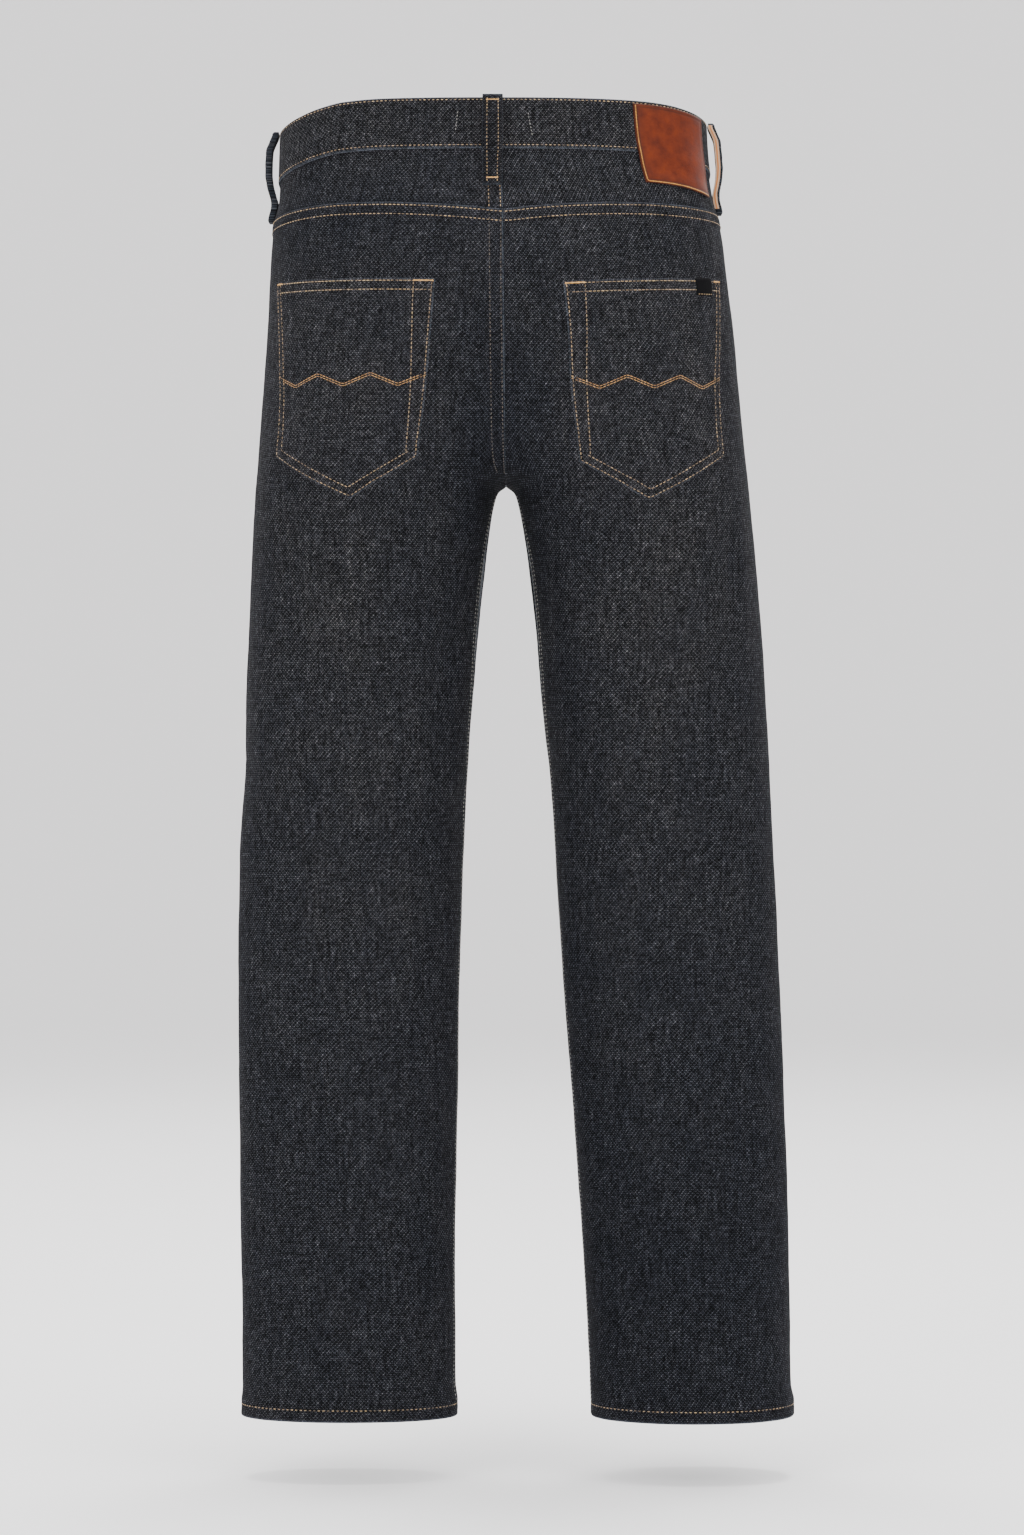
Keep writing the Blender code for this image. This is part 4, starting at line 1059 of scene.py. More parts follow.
@dataclass
class ClothGrid:
    """A closed wall of cloth between an outer and an inner grid of points, with what its finish reads."""

    name: str
    outer: np.ndarray
    inner: np.ndarray
    across: np.ndarray
    height: np.ndarray
    # Faded dye and painted shade at each point.
    fade: np.ndarray
    wear: np.ndarray
    reverse: float = 1.0

    def make(self) -> bpy.types.Object:
        """Builds the wall's mesh, its UV map and its point numbers.

        Returns:
            The piece.
        """
        rows, columns = self.across.shape
        count = rows * columns
        index = np.arange(count).reshape(rows, columns)
        skin = np.stack([index[:-1, :-1], index[:-1, 1:], index[1:, 1:], index[1:, :-1]],
                        axis=-1).reshape(-1, 4)
        rim = np.concatenate([index[0, :], index[1:, -1], index[-1, -2::-1], index[-2:0:-1, 0]])
        after = np.roll(rim, -1)
        sides = np.stack([after, rim, rim + count, after + count], axis=-1)
        faces = np.concatenate([skin, skin[:, ::-1] + count, sides])
        points = np.concatenate([self.outer.reshape(-1, 3), self.inner.reshape(-1, 3)])
        i, j = rows // 2, columns // 2
        down = self.outer[i + 1 if i + 1 < rows else i, j] - self.outer[i - 1 if i else i, j]
        over = self.outer[i, j + 1 if j + 1 < columns else j] - self.outer[i, j - 1 if j else j]
        if np.dot(np.cross(over, down), self.outer[i, j] - self.inner[i, j]) < 0:
            faces = faces[:, ::-1]
        made = mesh_object(self.name, points, faces)
        mesh = made.data
        loops = np.empty(len(mesh.loops), dtype=np.int32)
        mesh.loops.foreach_get("vertex_index", loops)
        flat = np.stack([self.across.ravel(), self.height.ravel()], axis=-1)
        uv = np.concatenate([flat, flat])[loops].astype(np.float32)
        mesh.uv_layers.new(name="cloth").data.foreach_set("uv", uv.ravel())
        # The first number carries faded dye and painted shade, the second worn edges and the third the
        # cloth's back face.
        numbers = {
            "fade": np.tile(self.fade.ravel(), 2),
            "wear": np.concatenate([self.wear.ravel(), self.wear.ravel() * 0.5]),
            "inside": np.repeat((0.0, self.reverse), count),
        }
        for name, values in numbers.items():
            layer = mesh.attributes.new(name, "FLOAT", "POINT")
            layer.data.foreach_set("value", values.astype(np.float32))
        return made


class StitchBox:
    """Lays sewn stitches, each a copy of one small stitch."""

    width = 0.64 * MM
    tall = 0.56 * MM
    pitch = 3.4 * MM

    def __init__(self) -> None:
        """Models the one stitch: a rounded, slightly flattened bar along X, a unit long."""
        bpy.ops.object.select_all(action="DESELECT")
        bpy.ops.mesh.primitive_cylinder_add(vertices=6, radius=0.5, depth=0.62, end_fill_type="NGON")
        stitch = bpy.context.object
        bpy.ops.object.mode_set(mode="EDIT")
        bpy.ops.mesh.select_mode(type="FACE")
        bpy.ops.mesh.select_all(action="DESELECT")
        bpy.ops.object.mode_set(mode="OBJECT")
        for face in stitch.data.polygons:
            face.select = abs(face.normal.z) > 0.9
        bpy.ops.object.mode_set(mode="EDIT")
        bpy.ops.mesh.inset(thickness=0.16, use_even_offset=False)
        bpy.ops.object.mode_set(mode="OBJECT")
        for face in stitch.data.polygons:
            if face.select:
                for corner in face.vertices:
                    stitch.data.vertices[corner].co.z = math.copysign(0.5, face.normal.z)
        self.points = np.array([vertex.co[:] for vertex in stitch.data.vertices])[:, [2, 0, 1]]
        self.faces = [tuple(face.vertices) for face in stitch.data.polygons]
        bpy.data.objects.remove(stitch, do_unlink=True)

    def places(self, path: np.ndarray, out: np.ndarray, pitch: float) -> list[tuple]:
        """Centres and directions of stitches spaced evenly along a path.

        Args:
            path: Points of the path.
            out: Outward directions at those points.
            pitch: The stitch length.

        Returns:
            The centre, length and outward direction of each stitch.
        """
        steps = np.linalg.norm(np.diff(path, axis=0), axis=1)
        run = np.concatenate([[0.0], np.cumsum(steps)])
        count = max(1, int(round(run[-1] / pitch)))
        ends = np.linspace(0.0, run[-1], count + 1)
        at = np.stack([np.interp(ends, run, path[:, k]) for k in range(3)], axis=-1)
        middle = (ends[1:] + ends[:-1]) / 2
        normal = np.stack([np.interp(middle, run, out[:, k]) for k in range(3)], axis=-1)
        return list(zip((at[1:] + at[:-1]) / 2, at[1:] - at[:-1], normal))

    def sew(self, name: str, rows: Sequence[tuple], wardrobe: Wardrobe, thread: Thread,
            width: Optional[float] = None, pitch: Optional[float] = None,
            cover: float = 0.46) -> bpy.types.Object:
        """Sews rows of stitches as one piece.

        Args:
            name: The piece's name.
            rows: Pairs of path points and outward directions.
            wardrobe: Where the thread's finish is.
            thread: Which thread.
            width: The thread's width, or None for the usual one.
            pitch: The stitch length, or None for the usual one.
            cover: The share of each stitch length that the thread covers.

        Returns:
            The piece.
        """
        width = width or self.width
        tall = self.tall * width / self.width
        points, faces, start, turn = [], [], 0, 0
        for path, out in rows:
            for centre, way, normal in self.places(path, out, pitch or self.pitch):
                long = np.linalg.norm(way)
                if long < 1e-6:
                    continue
                x = way / long
                z = normal - x * np.dot(normal, x)
                z /= np.linalg.norm(z)
                y = np.cross(z, x)
                turn += 1
                tilt = 0.10 * math.sin(turn * 12.9898) * width
                local = self.points * (long * cover, width, tall)
                local[:, 1] += local[:, 0] / (long * cover) * 2 * tilt
                points.append(centre + local @ np.array((x, y, z)))
                faces += [tuple(start + k for k in face) for face in self.faces]
                start += len(self.points)
        made = bpy.data.meshes.new(name)
        made.from_pydata(np.concatenate(points).tolist(), [], faces)
        made.shade_smooth()
        piece = linked(name, made)
        dress(piece, wardrobe.thread[thread])
        return piece


def row_on(form: WornForm, side: Side, along: Places, height: Places, grow: Places = 0.0) -> Pair:
    """A stitch row's points and outward directions, from places on the worn form.

    Args:
        form: The worn form.
        side: The side of the body.
        along: Distances round from the side line.
        height: Heights.
        grow: How far each point stands out.

    Returns:
        The points and their directions.
    """
    base = form.points(side, along, height, grow)
    out = form.points(side, along, height, np.asarray(grow) + 2 * MM) - base
    length = np.linalg.norm(out, axis=-1, keepdims=True)
    return base, np.where(length > 1e-5, out / np.maximum(length, 1e-9), (0.0, 0.0, 1.0))


# --------------------------------------------------------------------------------------------------------
# Leg panels
# --------------------------------------------------------------------------------------------------------


def sewn_edge(distance: np.ndarray, lap: float = 0.0) -> np.ndarray:
    """How far cloth stands out near a sewn edge.

    Args:
        distance: How far in from the edge each point lies.
        lap: The width of the lap that raises the cloth and carries two rows of stitches, or 0 for none.

    Returns:
        Distances out: rounded over at the edge, raised on the lap and pulled in at its rows.
    """
    form = -0.55 * MM * turned(distance, 0.9 * MM)
    if lap:
        form += Cut.lap_proud * (1 - ease(lap, lap + 1.7 * MM, distance))
        form -= 0.30 * MM * bell(distance - Cut.seam_row, 0.7 * MM)
        form -= 0.30 * MM * bell(distance - lap + Cut.row_in, 0.7 * MM)
        form += 0.12 * MM * bell(distance - lap / 2, 2.0 * MM)
    return form


def pucker(run: np.ndarray, distance: np.ndarray, depth: float, reach: float) -> np.ndarray:
    """The uneven gathers that run off a sewn edge.

    Args:
        run: Distances along the edge.
        distance: How far in from the edge each point lies.
        depth: The depth of the gathers.
        reach: The distance over which they die away.

    Returns:
        Distances out.
    """
    r = run / MM
    wave = np.sin(r / 2.35 + 0.8 * np.sin(r / 13.0)) + 0.6 * np.sin(r / 1.31 + 1.1 * np.sin(r / 21.0))
    swell = 0.6 + 0.4 * np.sin(r / 37.0)
    return depth * wave * swell * np.exp(-distance / reach) * ease(0.0, 3 * MM, distance)


def inseam_shift(height: np.ndarray) -> np.ndarray:
    """How far the inseam lies towards the back, at each height."""
    return monotone(INSEAM_SHIFTS[:, 0] * CM, INSEAM_SHIFTS[:, 1] * CM, height)


def level_rows() -> np.ndarray:
    """Heights of a leg panel's level rows, close together round the crotch and at the hem.

    Returns:
        Heights, from the top down.
    """
    upper = np.arange(-12.5 * CM, -24.0 * CM, -4.5 * MM)
    near = np.arange(-24.0 * CM, -31.0 * CM, -1.6 * MM)
    lower = np.arange(-31.0 * CM, Cut.hem + 14 * MM, -4.7 * MM)
    hem = Cut.hem + np.array((13.0, 11.8, 11.0, 10.4, 9.8, 8.6, 7.0, 5.2, 3.6, 2.2, 1.1, 0.4, 0.0)) * MM
    return np.concatenate([upper, near, lower, hem])


@dataclass
class LegPanel:
    """What the back and front leg panels share: a grid hung from a top edge down to the turned hem."""

    form: WornForm
    side: Side
    wardrobe: Wardrobe
    # The width and length of the cloth that a panel is cut from.
    flat: tuple = (0.0, 0.0)

    def columns(self, height: np.ndarray) -> np.ndarray:
        """Distances round of every column at each height."""
        raise NotImplementedError

    def at_columns(self, heights: np.ndarray) -> np.ndarray:
        """Distances round of a grid whose columns are read at each point's own height.

        Args:
            heights: The grid's heights.

        Returns:
            Distances round, in the shape of the grid.
        """
        rows, count = heights.shape
        along = self.columns(heights.ravel()).reshape(rows, count, count)
        return along[:, np.arange(count), np.arange(count)]

    def closed(self, height: np.ndarray) -> np.ndarray:
        """Half the seam gap, only where the leg's section is closed."""
        return np.where(self.form.size("apart", height) >= Cut.gap / 2, Cut.gap / 2, 0.0)

    def hem_form(self, along: np.ndarray, heights: np.ndarray) -> np.ndarray:
        """The turned hem's rounding, stitch row and roping.

        Args:
            along: Distances round from the side line.
            heights: The grid's heights.

        Returns:
            Distances out.
        """
        up = heights - Cut.hem
        form = -0.7 * MM * turned(up, 1.1 * MM)
        form -= 0.35 * MM * bell(up - Cut.hem_height + Cut.hem_row_in, 0.8 * MM)
        rope = np.sin((along + 0.9 * up) / (1.9 * MM) + np.sin(along / (17 * MM)))
        return form + 0.22 * MM * rope * bell(up - 5 * MM, 3.6 * MM)

    def build(self, name: str, heights: np.ndarray, grow: np.ndarray, wear: np.ndarray) -> bpy.types.Object:
        """Args:
            name: The piece's name.
            heights: The grid's heights.
            grow: How far each point stands out.
            wear: How worn each point is.

        Returns:
            The panel.
        """
        along = self.at_columns(heights)
        rope = self.hem_form(along, heights)
        thick = Cut.wall + Cut.hem_fold * (1 - ease(10.2 * MM, 11.2 * MM, heights - Cut.hem))
        hem_wear = bell(heights - Cut.hem, 1.0 * MM) * 0.8
        grid = ClothGrid(
            name,
            self.form.points(self.side, along, heights, grow + rope),
            self.form.points(self.side, along, heights, np.minimum(rope, 0.0) - thick),
            along * self.side.value,
            heights,
            self.form.fade(self.side, along, heights),
            np.clip(wear + hem_wear, 0.0, 1.0),
        )
        piece = grid.make()
        dress(piece, self.wardrobe.denim, [name])
        return piece

    def hem_row(self, box: StitchBox, name: str) -> None:
        """Sews the hem's row.

        Args:
            box: What makes the stitches.
            name: The piece's name.
        """
        height = Cut.hem + Cut.hem_height - Cut.hem_row_in
        ends = self.columns(np.full(1, height))[0]
        spots = np.linspace(ends[0], ends[-1], 160)
        row = row_on(self.form, self.side, spots, np.full(160, height), -0.05 * MM)
        box.sew(name, [row], self.wardrobe, Thread.TAN, pitch=Cut.hem_pitch)


@dataclass
class BackPanel(LegPanel):
    """A back leg panel, lapped over the yoke seam and, on the left, over the seat seam."""

    flat: tuple = (0.36, 1.02)
    inner_columns: int = 14
    outer_columns: int = 54
    top_rows: int = 13

    def columns(self, height: np.ndarray) -> np.ndarray:
        """Distances round from the seat seam or inseam to the side seam.

        Args:
            height: Heights.

        Returns:
            Distances round, one row for each height.
        """
        back, _ = self.form.reaches(self.side, height)
        start = back + self.closed(height) * 1.5 - inseam_shift(height)
        end = np.full_like(start, -Cut.side_forward - Cut.gap)
        near = start[:, None] - EDGE_LINES
        upright = np.minimum(near[:, -1] - 9 * MM, Cut.upright - 9 * MM)
        inner = lerp(near[:, -1:], upright[:, None], np.linspace(0, 1, self.inner_columns + 1)[1:])
        far = end[:, None] + np.array((3.0, 1.4, 0.5, 0.0)) * MM
        outer = lerp(upright[:, None], far[:, :1], np.linspace(0, 1, self.outer_columns + 1)[1:-1])
        return np.concatenate([near, inner, outer, far], axis=1)

    def seam(self, share_columns: np.ndarray) -> np.ndarray:
        """Height of the panel's top edge at columns read at the yoke's level."""
        return self.form.yoke_seam(self.side, share_columns) - Cut.gap / 2

    def heights(self) -> np.ndarray:
        """Heights of the grid, from the yoke seam to the hem.

        Returns:
            Heights, in the shape of the grid.
        """
        top = self.seam(self.columns(np.full(1, Cut.yoke_level))[0])
        level = level_rows()
        edge = top[None, :] - EDGE_LINES[:, None]
        between = lerp(edge[-1:], level[0], np.linspace(0, 1, self.top_rows + 1)[1:-1, None])
        return np.concatenate([edge, between, np.broadcast_to(level[:, None], (len(level), len(top)))])

    def make(self) -> bpy.types.Object:
        """Builds the panel.

        Returns:
            The panel.
        """
        heights = self.heights()
        along = self.at_columns(heights)
        top = self.seam(self.columns(np.full(1, Cut.yoke_level))[0])
        below = top[None, :] - heights
        back, _ = self.form.reaches(self.side, heights)
        from_seat = np.maximum(back + self.closed(heights) * 1.5 - inseam_shift(heights) - along, 0.0)
        from_side = along + Cut.side_forward
        on_seat = (heights > Cut.crotch + 4 * MM) & (self.side is Side.LEFT)
        seat = np.where(on_seat, sewn_edge(from_seat, Cut.seat_lap), sewn_edge(from_seat))
        yoke = sewn_edge(below, Cut.lap_width)
        grow = np.where(below < 14 * MM, np.maximum(seat, yoke), seat)
        grow = np.minimum(grow, sewn_edge(from_side) + 1.0 * (from_side > 1 * MM))
        grow += pucker(along, below - 9 * MM, 0.16 * MM, 7 * MM) * (below > 9 * MM)
        grow += pucker(heights, from_seat - 9 * MM, 0.16 * MM, 8 * MM) * (from_seat > 9 * MM)
        grow += pucker(heights + 0.3, from_side, 0.16 * MM, 8 * MM)
        on_lap = 0.95 if self.side is Side.LEFT else 0.1
        wear = 0.55 * bell(below, 0.9 * MM)
        wear = np.maximum(wear, bell(from_seat, 0.9 * MM) * on_lap)
        return self.build(f"back_{self.side.word}", heights, grow, wear)

    def rows(self, box: StitchBox) -> None:
        """Sews the yoke seam's rows, the seat seam's, the inseam's and the hem's.

        Args:
            box: What makes the stitches.
        """
        word = self.side.word
        level = self.columns(np.full(1, Cut.yoke_level))[0]
        lift = Cut.lap_proud - 0.12 * MM
        yoke = []
        for off in (Cut.seam_row, Cut.lap_width + 0.1 * MM):
            near, _ = self.form.reaches(self.side, self.seam(level[:1]) - off)
            spots = np.linspace(float(near[0]) - 0.5 * MM, level[-1] + 1 * MM, 200)
            raised = lift + 0.22 * MM * (spots > near[0] - Cut.seat_lap) * (self.side is Side.LEFT)
            yoke.append(row_on(self.form, self.side, spots, self.seam(spots) - off, raised))
        box.sew(f"yoke_stitches_{word}", yoke, self.wardrobe, Thread.TAN, cover=0.58)
        if self.side is Side.LEFT:
            down = np.linspace(self.seam(level[:1])[0] - 3 * MM, Cut.crotch + 6 * MM, 160)
            back, _ = self.form.reaches(self.side, down)
            offs = (Cut.seam_row, Cut.seat_lap - Cut.row_in)
            seat = [row_on(self.form, self.side, back - off, down, lift) for off in offs]
            box.sew("seat_stitches", seat, self.wardrobe, Thread.DIM)
        down = np.linspace(Cut.crotch - 8 * MM, Cut.hem + 12 * MM, 360)
        back, _ = self.form.reaches(self.side, down)
        inner = [row_on(self.form, self.side, back - inseam_shift(down) - off, down) for off in (2.2 * MM,
                                                                                                 8.2 * MM)]
        box.sew(f"inseam_stitches_{word}", inner, self.wardrobe, Thread.CREAM)
        self.hem_row(box, f"hem_stitches_back_{word}")


@dataclass
class FrontPanel(LegPanel):
    """A front leg panel, scooped at the pocket opening and cut to the fly edge."""

    flat: tuple = (0.34, 1.03)
    scoop_columns: int = 22
    middle_columns: int = 34
    inner_columns: int = 12

    def fly_edge(self, height: np.ndarray) -> np.ndarray:
        """How far past the centre front the panel's edge lies: on the left past it, on the right short."""
        share = np.clip((height - Cut.fly_end) / (Cut.fly_straight_end - Cut.fly_end), 0.0, 1.0)
        return self.side.value * Cut.fly_overlap * share * share * (3 - 2 * share)

    def shares(self) -> np.ndarray:
        """Shares of the way from the side seam to the upright limit, close together at the scoop's end.

        Returns:
            Rising shares.
        """
        scoop = Cut.scoop_share * np.sin(np.linspace(0.0, math.pi / 2, self.scoop_columns))
        rest = np.linspace(Cut.scoop_share, 0.95, self.middle_columns)[1:]
        return np.concatenate([scoop, rest])

    def ends(self, height: np.ndarray) -> tuple[float, np.ndarray]:
        """The side seam's and the inner edge's distances round.

        Args:
            height: Heights.

        Returns:
            Distances round.
        """
        _, front = self.form.reaches(self.side, height)
        start = -Cut.side_forward - Cut.gap / 2
        on_fly = np.where(height > Cut.fly_end, Cut.gap / 2, 0.0)
        return start, -front - self.fly_edge(height) + on_fly + self.closed(height) - inseam_shift(height)

    def columns(self, height: np.ndarray) -> np.ndarray:
        """Distances round from the side seam to the fly edge or inseam.

        Args:
            height: Heights.

        Returns:
            Distances round, one row for each height.
        """
        start, end = self.ends(height)
        upright = -np.minimum(-end, Cut.upright)
        spots = lerp(start, upright[:, None], self.shares()[None, :])
        near = end[:, None] + np.array((3.2, 1.4, 0.5, 0.0)) * MM
        last = spots[:, -1:]
        inner = lerp(last, near[:, :1], np.linspace(0, 1, self.inner_columns + 1)[1:-1])
        return np.concatenate([spots, inner, near], axis=1)

    def under_band(self) -> np.ndarray:
        """Height of the waistband's lower edge at each column."""
        along = self.columns(np.full(1, -Cut.band_height))[0]
        return self.form.band_top(self.side, along) - Cut.band_height - Cut.gap

    def scoop_top(self) -> np.ndarray:
        """Height of the panel's top edge at each column.

        Returns:
            Heights.
        """
        along = self.columns(np.full(1, -Cut.band_height))[0]
        start, end = self.ends(np.full(1, -Cut.band_height))
        share = (along - start) / (end[0] - start)
        inside = np.clip(1.0 - (share / Cut.scoop_share) ** 2, 0.0, 1.0)
        return self.under_band() - Cut.scoop_depth * np.sqrt(inside)

    def heights(self) -> np.ndarray:
        """Heights of the grid, from the scooped top edge to the hem.

        Returns:
            Heights, in the shape of the grid.
        """
        top = self.scoop_top()
        level = level_rows()
        level = level[level < -13.5 * CM]
        edge = top[None, :] - np.array((0.0, 0.5, 1.3, 2.4, 4.0, 6.5))[:, None] * MM
        between = lerp(edge[-1:], level[0], np.linspace(0, 1, 22)[1:-1, None])
        return np.concatenate([edge, between, np.broadcast_to(level[:, None], (len(level), len(top)))])

    def make(self) -> bpy.types.Object:
        """Builds the panel.

        Returns:
            The panel.
        """
        heights = self.heights()
        along = self.at_columns(heights)
        top = self.scoop_top()
        below = top[None, :] - heights
        start, end = self.ends(heights.ravel())
        from_side = start - along
        from_inner = along - end.reshape(heights.shape)
        grow = sewn_edge(np.minimum(np.minimum(below, from_side), from_inner))
        grow += pucker(heights + 0.3, from_side, 0.16 * MM, 8 * MM)
        grow += pucker(heights, from_inner, 0.14 * MM, 8 * MM)
        on_scoop = along[:1] > lerp(start, end[0], Cut.scoop_share)
        wear = bell(below, 0.9 * MM) * on_scoop * 0.9
        wear = np.maximum(wear, bell(from_inner, 0.9 * MM) * (heights > Cut.fly_end) * 0.8)
        return self.build(f"front_{self.side.word}", heights, np.minimum(grow, 0.3 * MM), wear)

    def rows(self, box: StitchBox) -> None:
        """Sews the pocket opening's rows and the hem's, and on the left the fly's.

        Args:
            box: What makes the stitches.
        """
        word = self.side.word
        columns = self.columns(np.full(1, -Cut.band_height))[0][: self.scoop_columns]
        under = self.under_band()[: self.scoop_columns]
        theta = np.linspace(0.0, math.pi / 2, 90)
        rows = []
        for off in (2.2 * MM, 8.4 * MM):
            spots = lerp(columns[0], columns[-1], np.sin(theta)) - off * np.sin(theta)
            level = np.interp(-spots, -columns, under) - (Cut.scoop_depth + off) * np.cos(theta)
            low = level < np.interp(-spots, -columns, under) - 1 * MM
            rows.append(row_on(self.form, self.side, spots[low], level[low], -0.05 * MM))
        box.sew(f"opening_stitches_{word}", rows, self.wardrobe, Thread.TAN)
        self.hem_row(box, f"hem_stitches_front_{word}")
        if self.side is Side.LEFT:
            self.fly_rows(box)

    def fly_rows(self, box: StitchBox) -> None:
        """Sews the fly's two curved rows and its short edge row.

        Args:
            box: What makes the stitches.
        """
        rows = []
        for off in (34 * MM, 40 * MM):
            down = np.linspace(Cut.fly_row_top, Cut.fly_row_turn, 60)
            _, front = self.form.reaches(self.side, down)
            turn = np.linspace(0.0, math.pi / 2, 30)
            low = Cut.fly_row_turn - (off + 6 * MM) * np.sin(turn)
            _, low_front = self.form.reaches(self.side, low)
            along = np.concatenate([off - front, off * np.cos(turn) + 1.5 * MM - low_front])
            rows.append(row_on(self.form, self.side, along, np.concatenate([down, low]), -0.05 * MM))
        down = np.linspace(Cut.fly_row_top, Cut.fly_straight_end, 60)
        _, end = self.ends(down)
        rows.append(row_on(self.form, self.side, end + 2.2 * MM, down, -0.05 * MM))
        box.sew("fly_stitches", rows, self.wardrobe, Thread.TAN)

    def facing(self) -> bpy.types.Object:
        """Builds the cloth that shows inside the pocket opening.

        Returns:
            The facing.
        """
        count = int(np.searchsorted(self.shares(), 0.58))
        columns = slice(0, count)
        under = self.under_band()[columns]
        edge = self.scoop_top()[columns]
        low = edge - 26 * MM
        heights = np.concatenate([
            lerp(under[None, :], edge[None, :], np.linspace(0, 1, 22)[:, None]),
            lerp(edge[None, :], low[None, :], np.linspace(0, 1, 9)[1:, None]),
        ])
        full = np.concatenate([heights, np.repeat(heights[:, -1:], len(self.scoop_top()) - count, axis=1)],
                              axis=1)
        along = self.at_columns(full)[:, columns]
        outer = self.form.points(self.side, along, heights, -Cut.wall - 0.5 * MM)
        inner = self.form.points(self.side, along, heights, -Cut.wall - 1.7 * MM)
        name = f"pocket_facing_{self.side.word}"
        fade = self.form.fade(self.side, along, heights)
        grid = ClothGrid(name, outer, inner, along * self.side.value, heights, fade - 0.05,
                         np.zeros_like(heights))
        piece = grid.make()
        dress(piece, self.wardrobe.denim, [name])
        return piece


# --------------------------------------------------------------------------------------------------------
# Waist
# --------------------------------------------------------------------------------------------------------


@dataclass
class Waist:
    """The yokes, the waistband, the belt loops, the leather patch and the button."""

    form: WornForm
    wardrobe: Wardrobe
    box: StitchBox
    loop_width: float = 15.5 * MM
    loop_wall: float = 2.8 * MM
    loop_row: float = 0.262
    side_extra: float = 2.6 * MM
    front_loop: float = 89 * MM
    underlap: float = 38 * MM
    underlap_ramp: float = 18 * MM
    underlap_clear: float = 3 * MM
    patch_outer: float = 39 * MM
    patch_inner: float = 110 * MM
    patch_drop: float = 2.5 * MM
    patch_height: float = 64 * MM
    patch_wall: float = 1.3 * MM
    # A loop's inner face, millimetres: depth below the waistband's top edge, distance off the cloth.
    loop_path: tuple = (
        (-2.2, 2.2), (1.0, 2.6), (6.0, 4.6), (13.0, 6.9), (22.0, 7.3), (31.0, 7.2), (40.0, 6.0),
        (49.0, 3.4),
        (57.0, 0.9), (63.0, 0.5), (72.0, 0.4),
    )

    def yoke(self, side: Side) -> bpy.types.Object:
        """Builds a back yoke, from the waistband down to the yoke seam.

        Args:
            side: The side of the body.

        Returns:
            The yoke.
        """
        back, _ = self.form.reaches(side, 0.0)
        side_end = -Cut.side_forward - Cut.gap
        along = np.concatenate([float(back) - EDGE_LINES, np.linspace(float(back) - 16 * MM, side_end, 70)])
        top = self.form.band_top(side, along) - Cut.band_height - Cut.gap
        level = self.form.carried(side, along, np.full(len(along), Cut.yoke_level))
        low = self.form.yoke_seam(side, level) + Cut.gap / 2
        heights = lerp(top[None, :], low[None, :], np.linspace(0, 1, 26)[:, None])
        spots = self.form.carried(side, along[None, :], heights)
        above = heights - low[None, :]
        grow = pucker(spots, above, 0.18 * MM, 8 * MM)
        grow += pucker(spots + 0.4, top[None, :] - heights, 0.14 * MM, 6 * MM)
        here_back, _ = self.form.reaches(side, heights)
        seam = sewn_edge(np.maximum(here_back - spots, 0.0), Cut.seat_lap * (side is Side.LEFT))
        outer = self.form.points(side, spots, heights, np.minimum(grow, 0.5 * MM) + seam)
        inner = self.form.points(side, spots, heights, -Cut.wall)
        name = f"yoke_{side.word}"
        fade = self.form.fade(side, spots, heights) + 0.06
        shade = bell(above, 3.0 * MM) * -0.25
        wear = bell(here_back - spots, 0.9 * MM) * (0.95 if side is Side.LEFT else 0.1)
        grid = ClothGrid(name, outer, inner, spots * side.value, heights, fade + shade, wear)
        piece = grid.make()
        dress(piece, self.wardrobe.denim, [name])
        if side is Side.LEFT:
            down = np.linspace(float(top[0]) - 1 * MM, float(low[0]) + 1 * MM, 20)
            seam_back, _ = self.form.reaches(side, down)
            lift = Cut.lap_proud - 0.12 * MM
            offs = (Cut.seam_row, Cut.seat_lap - Cut.row_in)
            rows = [row_on(self.form, side, seam_back - off, down, lift) for off in offs]
            self.box.sew("yoke_seam_stitches", rows, self.wardrobe, Thread.TAN)
        LOG.info("%s built", name)
        return piece

    def seam_allowance(self) -> bpy.types.Object:
        """Builds the turned-in cloth that closes the centre seam from behind, from the yokes to the fly.

        Returns:
            The allowance.
        """
        over = np.linspace(-8 * MM, 8 * MM, 9)
        low = Cut.crotch + 0.2 * MM
        down = np.linspace(-Cut.band_height + 22 * MM, low, 90)
        up = np.linspace(low, Cut.fly_end - 4 * MM, 40)[1:]
        sheets = {}
        for name, lift in (("outer", -Cut.wall - 0.25 * MM), ("inner", -Cut.wall - 1.35 * MM)):
            back, _ = self.form.reaches(Side.LEFT, down[:, None])
            _, front = self.form.reaches(Side.LEFT, up[:, None])
            behind = self.form.points(Side.LEFT, back + over[None, :], down[:, None], lift)
            before = self.form.points(Side.LEFT, -front - over[None, :], up[:, None], lift)
            sheets[name] = np.concatenate([behind, before])
        heights = np.concatenate([down, up])[:, None] + np.zeros(len(over))[None, :]
        flat = np.zeros_like(heights)
        across = np.broadcast_to(over[None, :], heights.shape)
        grid = ClothGrid("seat_allowance", sheets["outer"], sheets["inner"], across, heights, flat, flat)
        piece = grid.make()
        dress(piece, self.wardrobe.denim)
        return piece

    def band_spots(self, side: Side) -> np.ndarray:
        """Distances round of the waistband's columns on one side, from the front end to the back.

        Args:
            side: The side of the body.

        Returns:
            Distances round.
        """
        back, front = (float(value) for value in self.form.reaches(side, 0.0))
        ramp = Cut.fly_overlap + self.underlap_clear
        start = -front - Cut.fly_overlap if side is Side.LEFT else -front - self.underlap
        marks = [start, start + 0.5 * MM, start + 1.5 * MM]
        if side is Side.RIGHT:
            marks += [-front + ramp, -front + ramp + self.underlap_ramp]
        return np.unique(np.concatenate([marks, np.linspace(marks[2] + 3 * MM, back, 150)]))

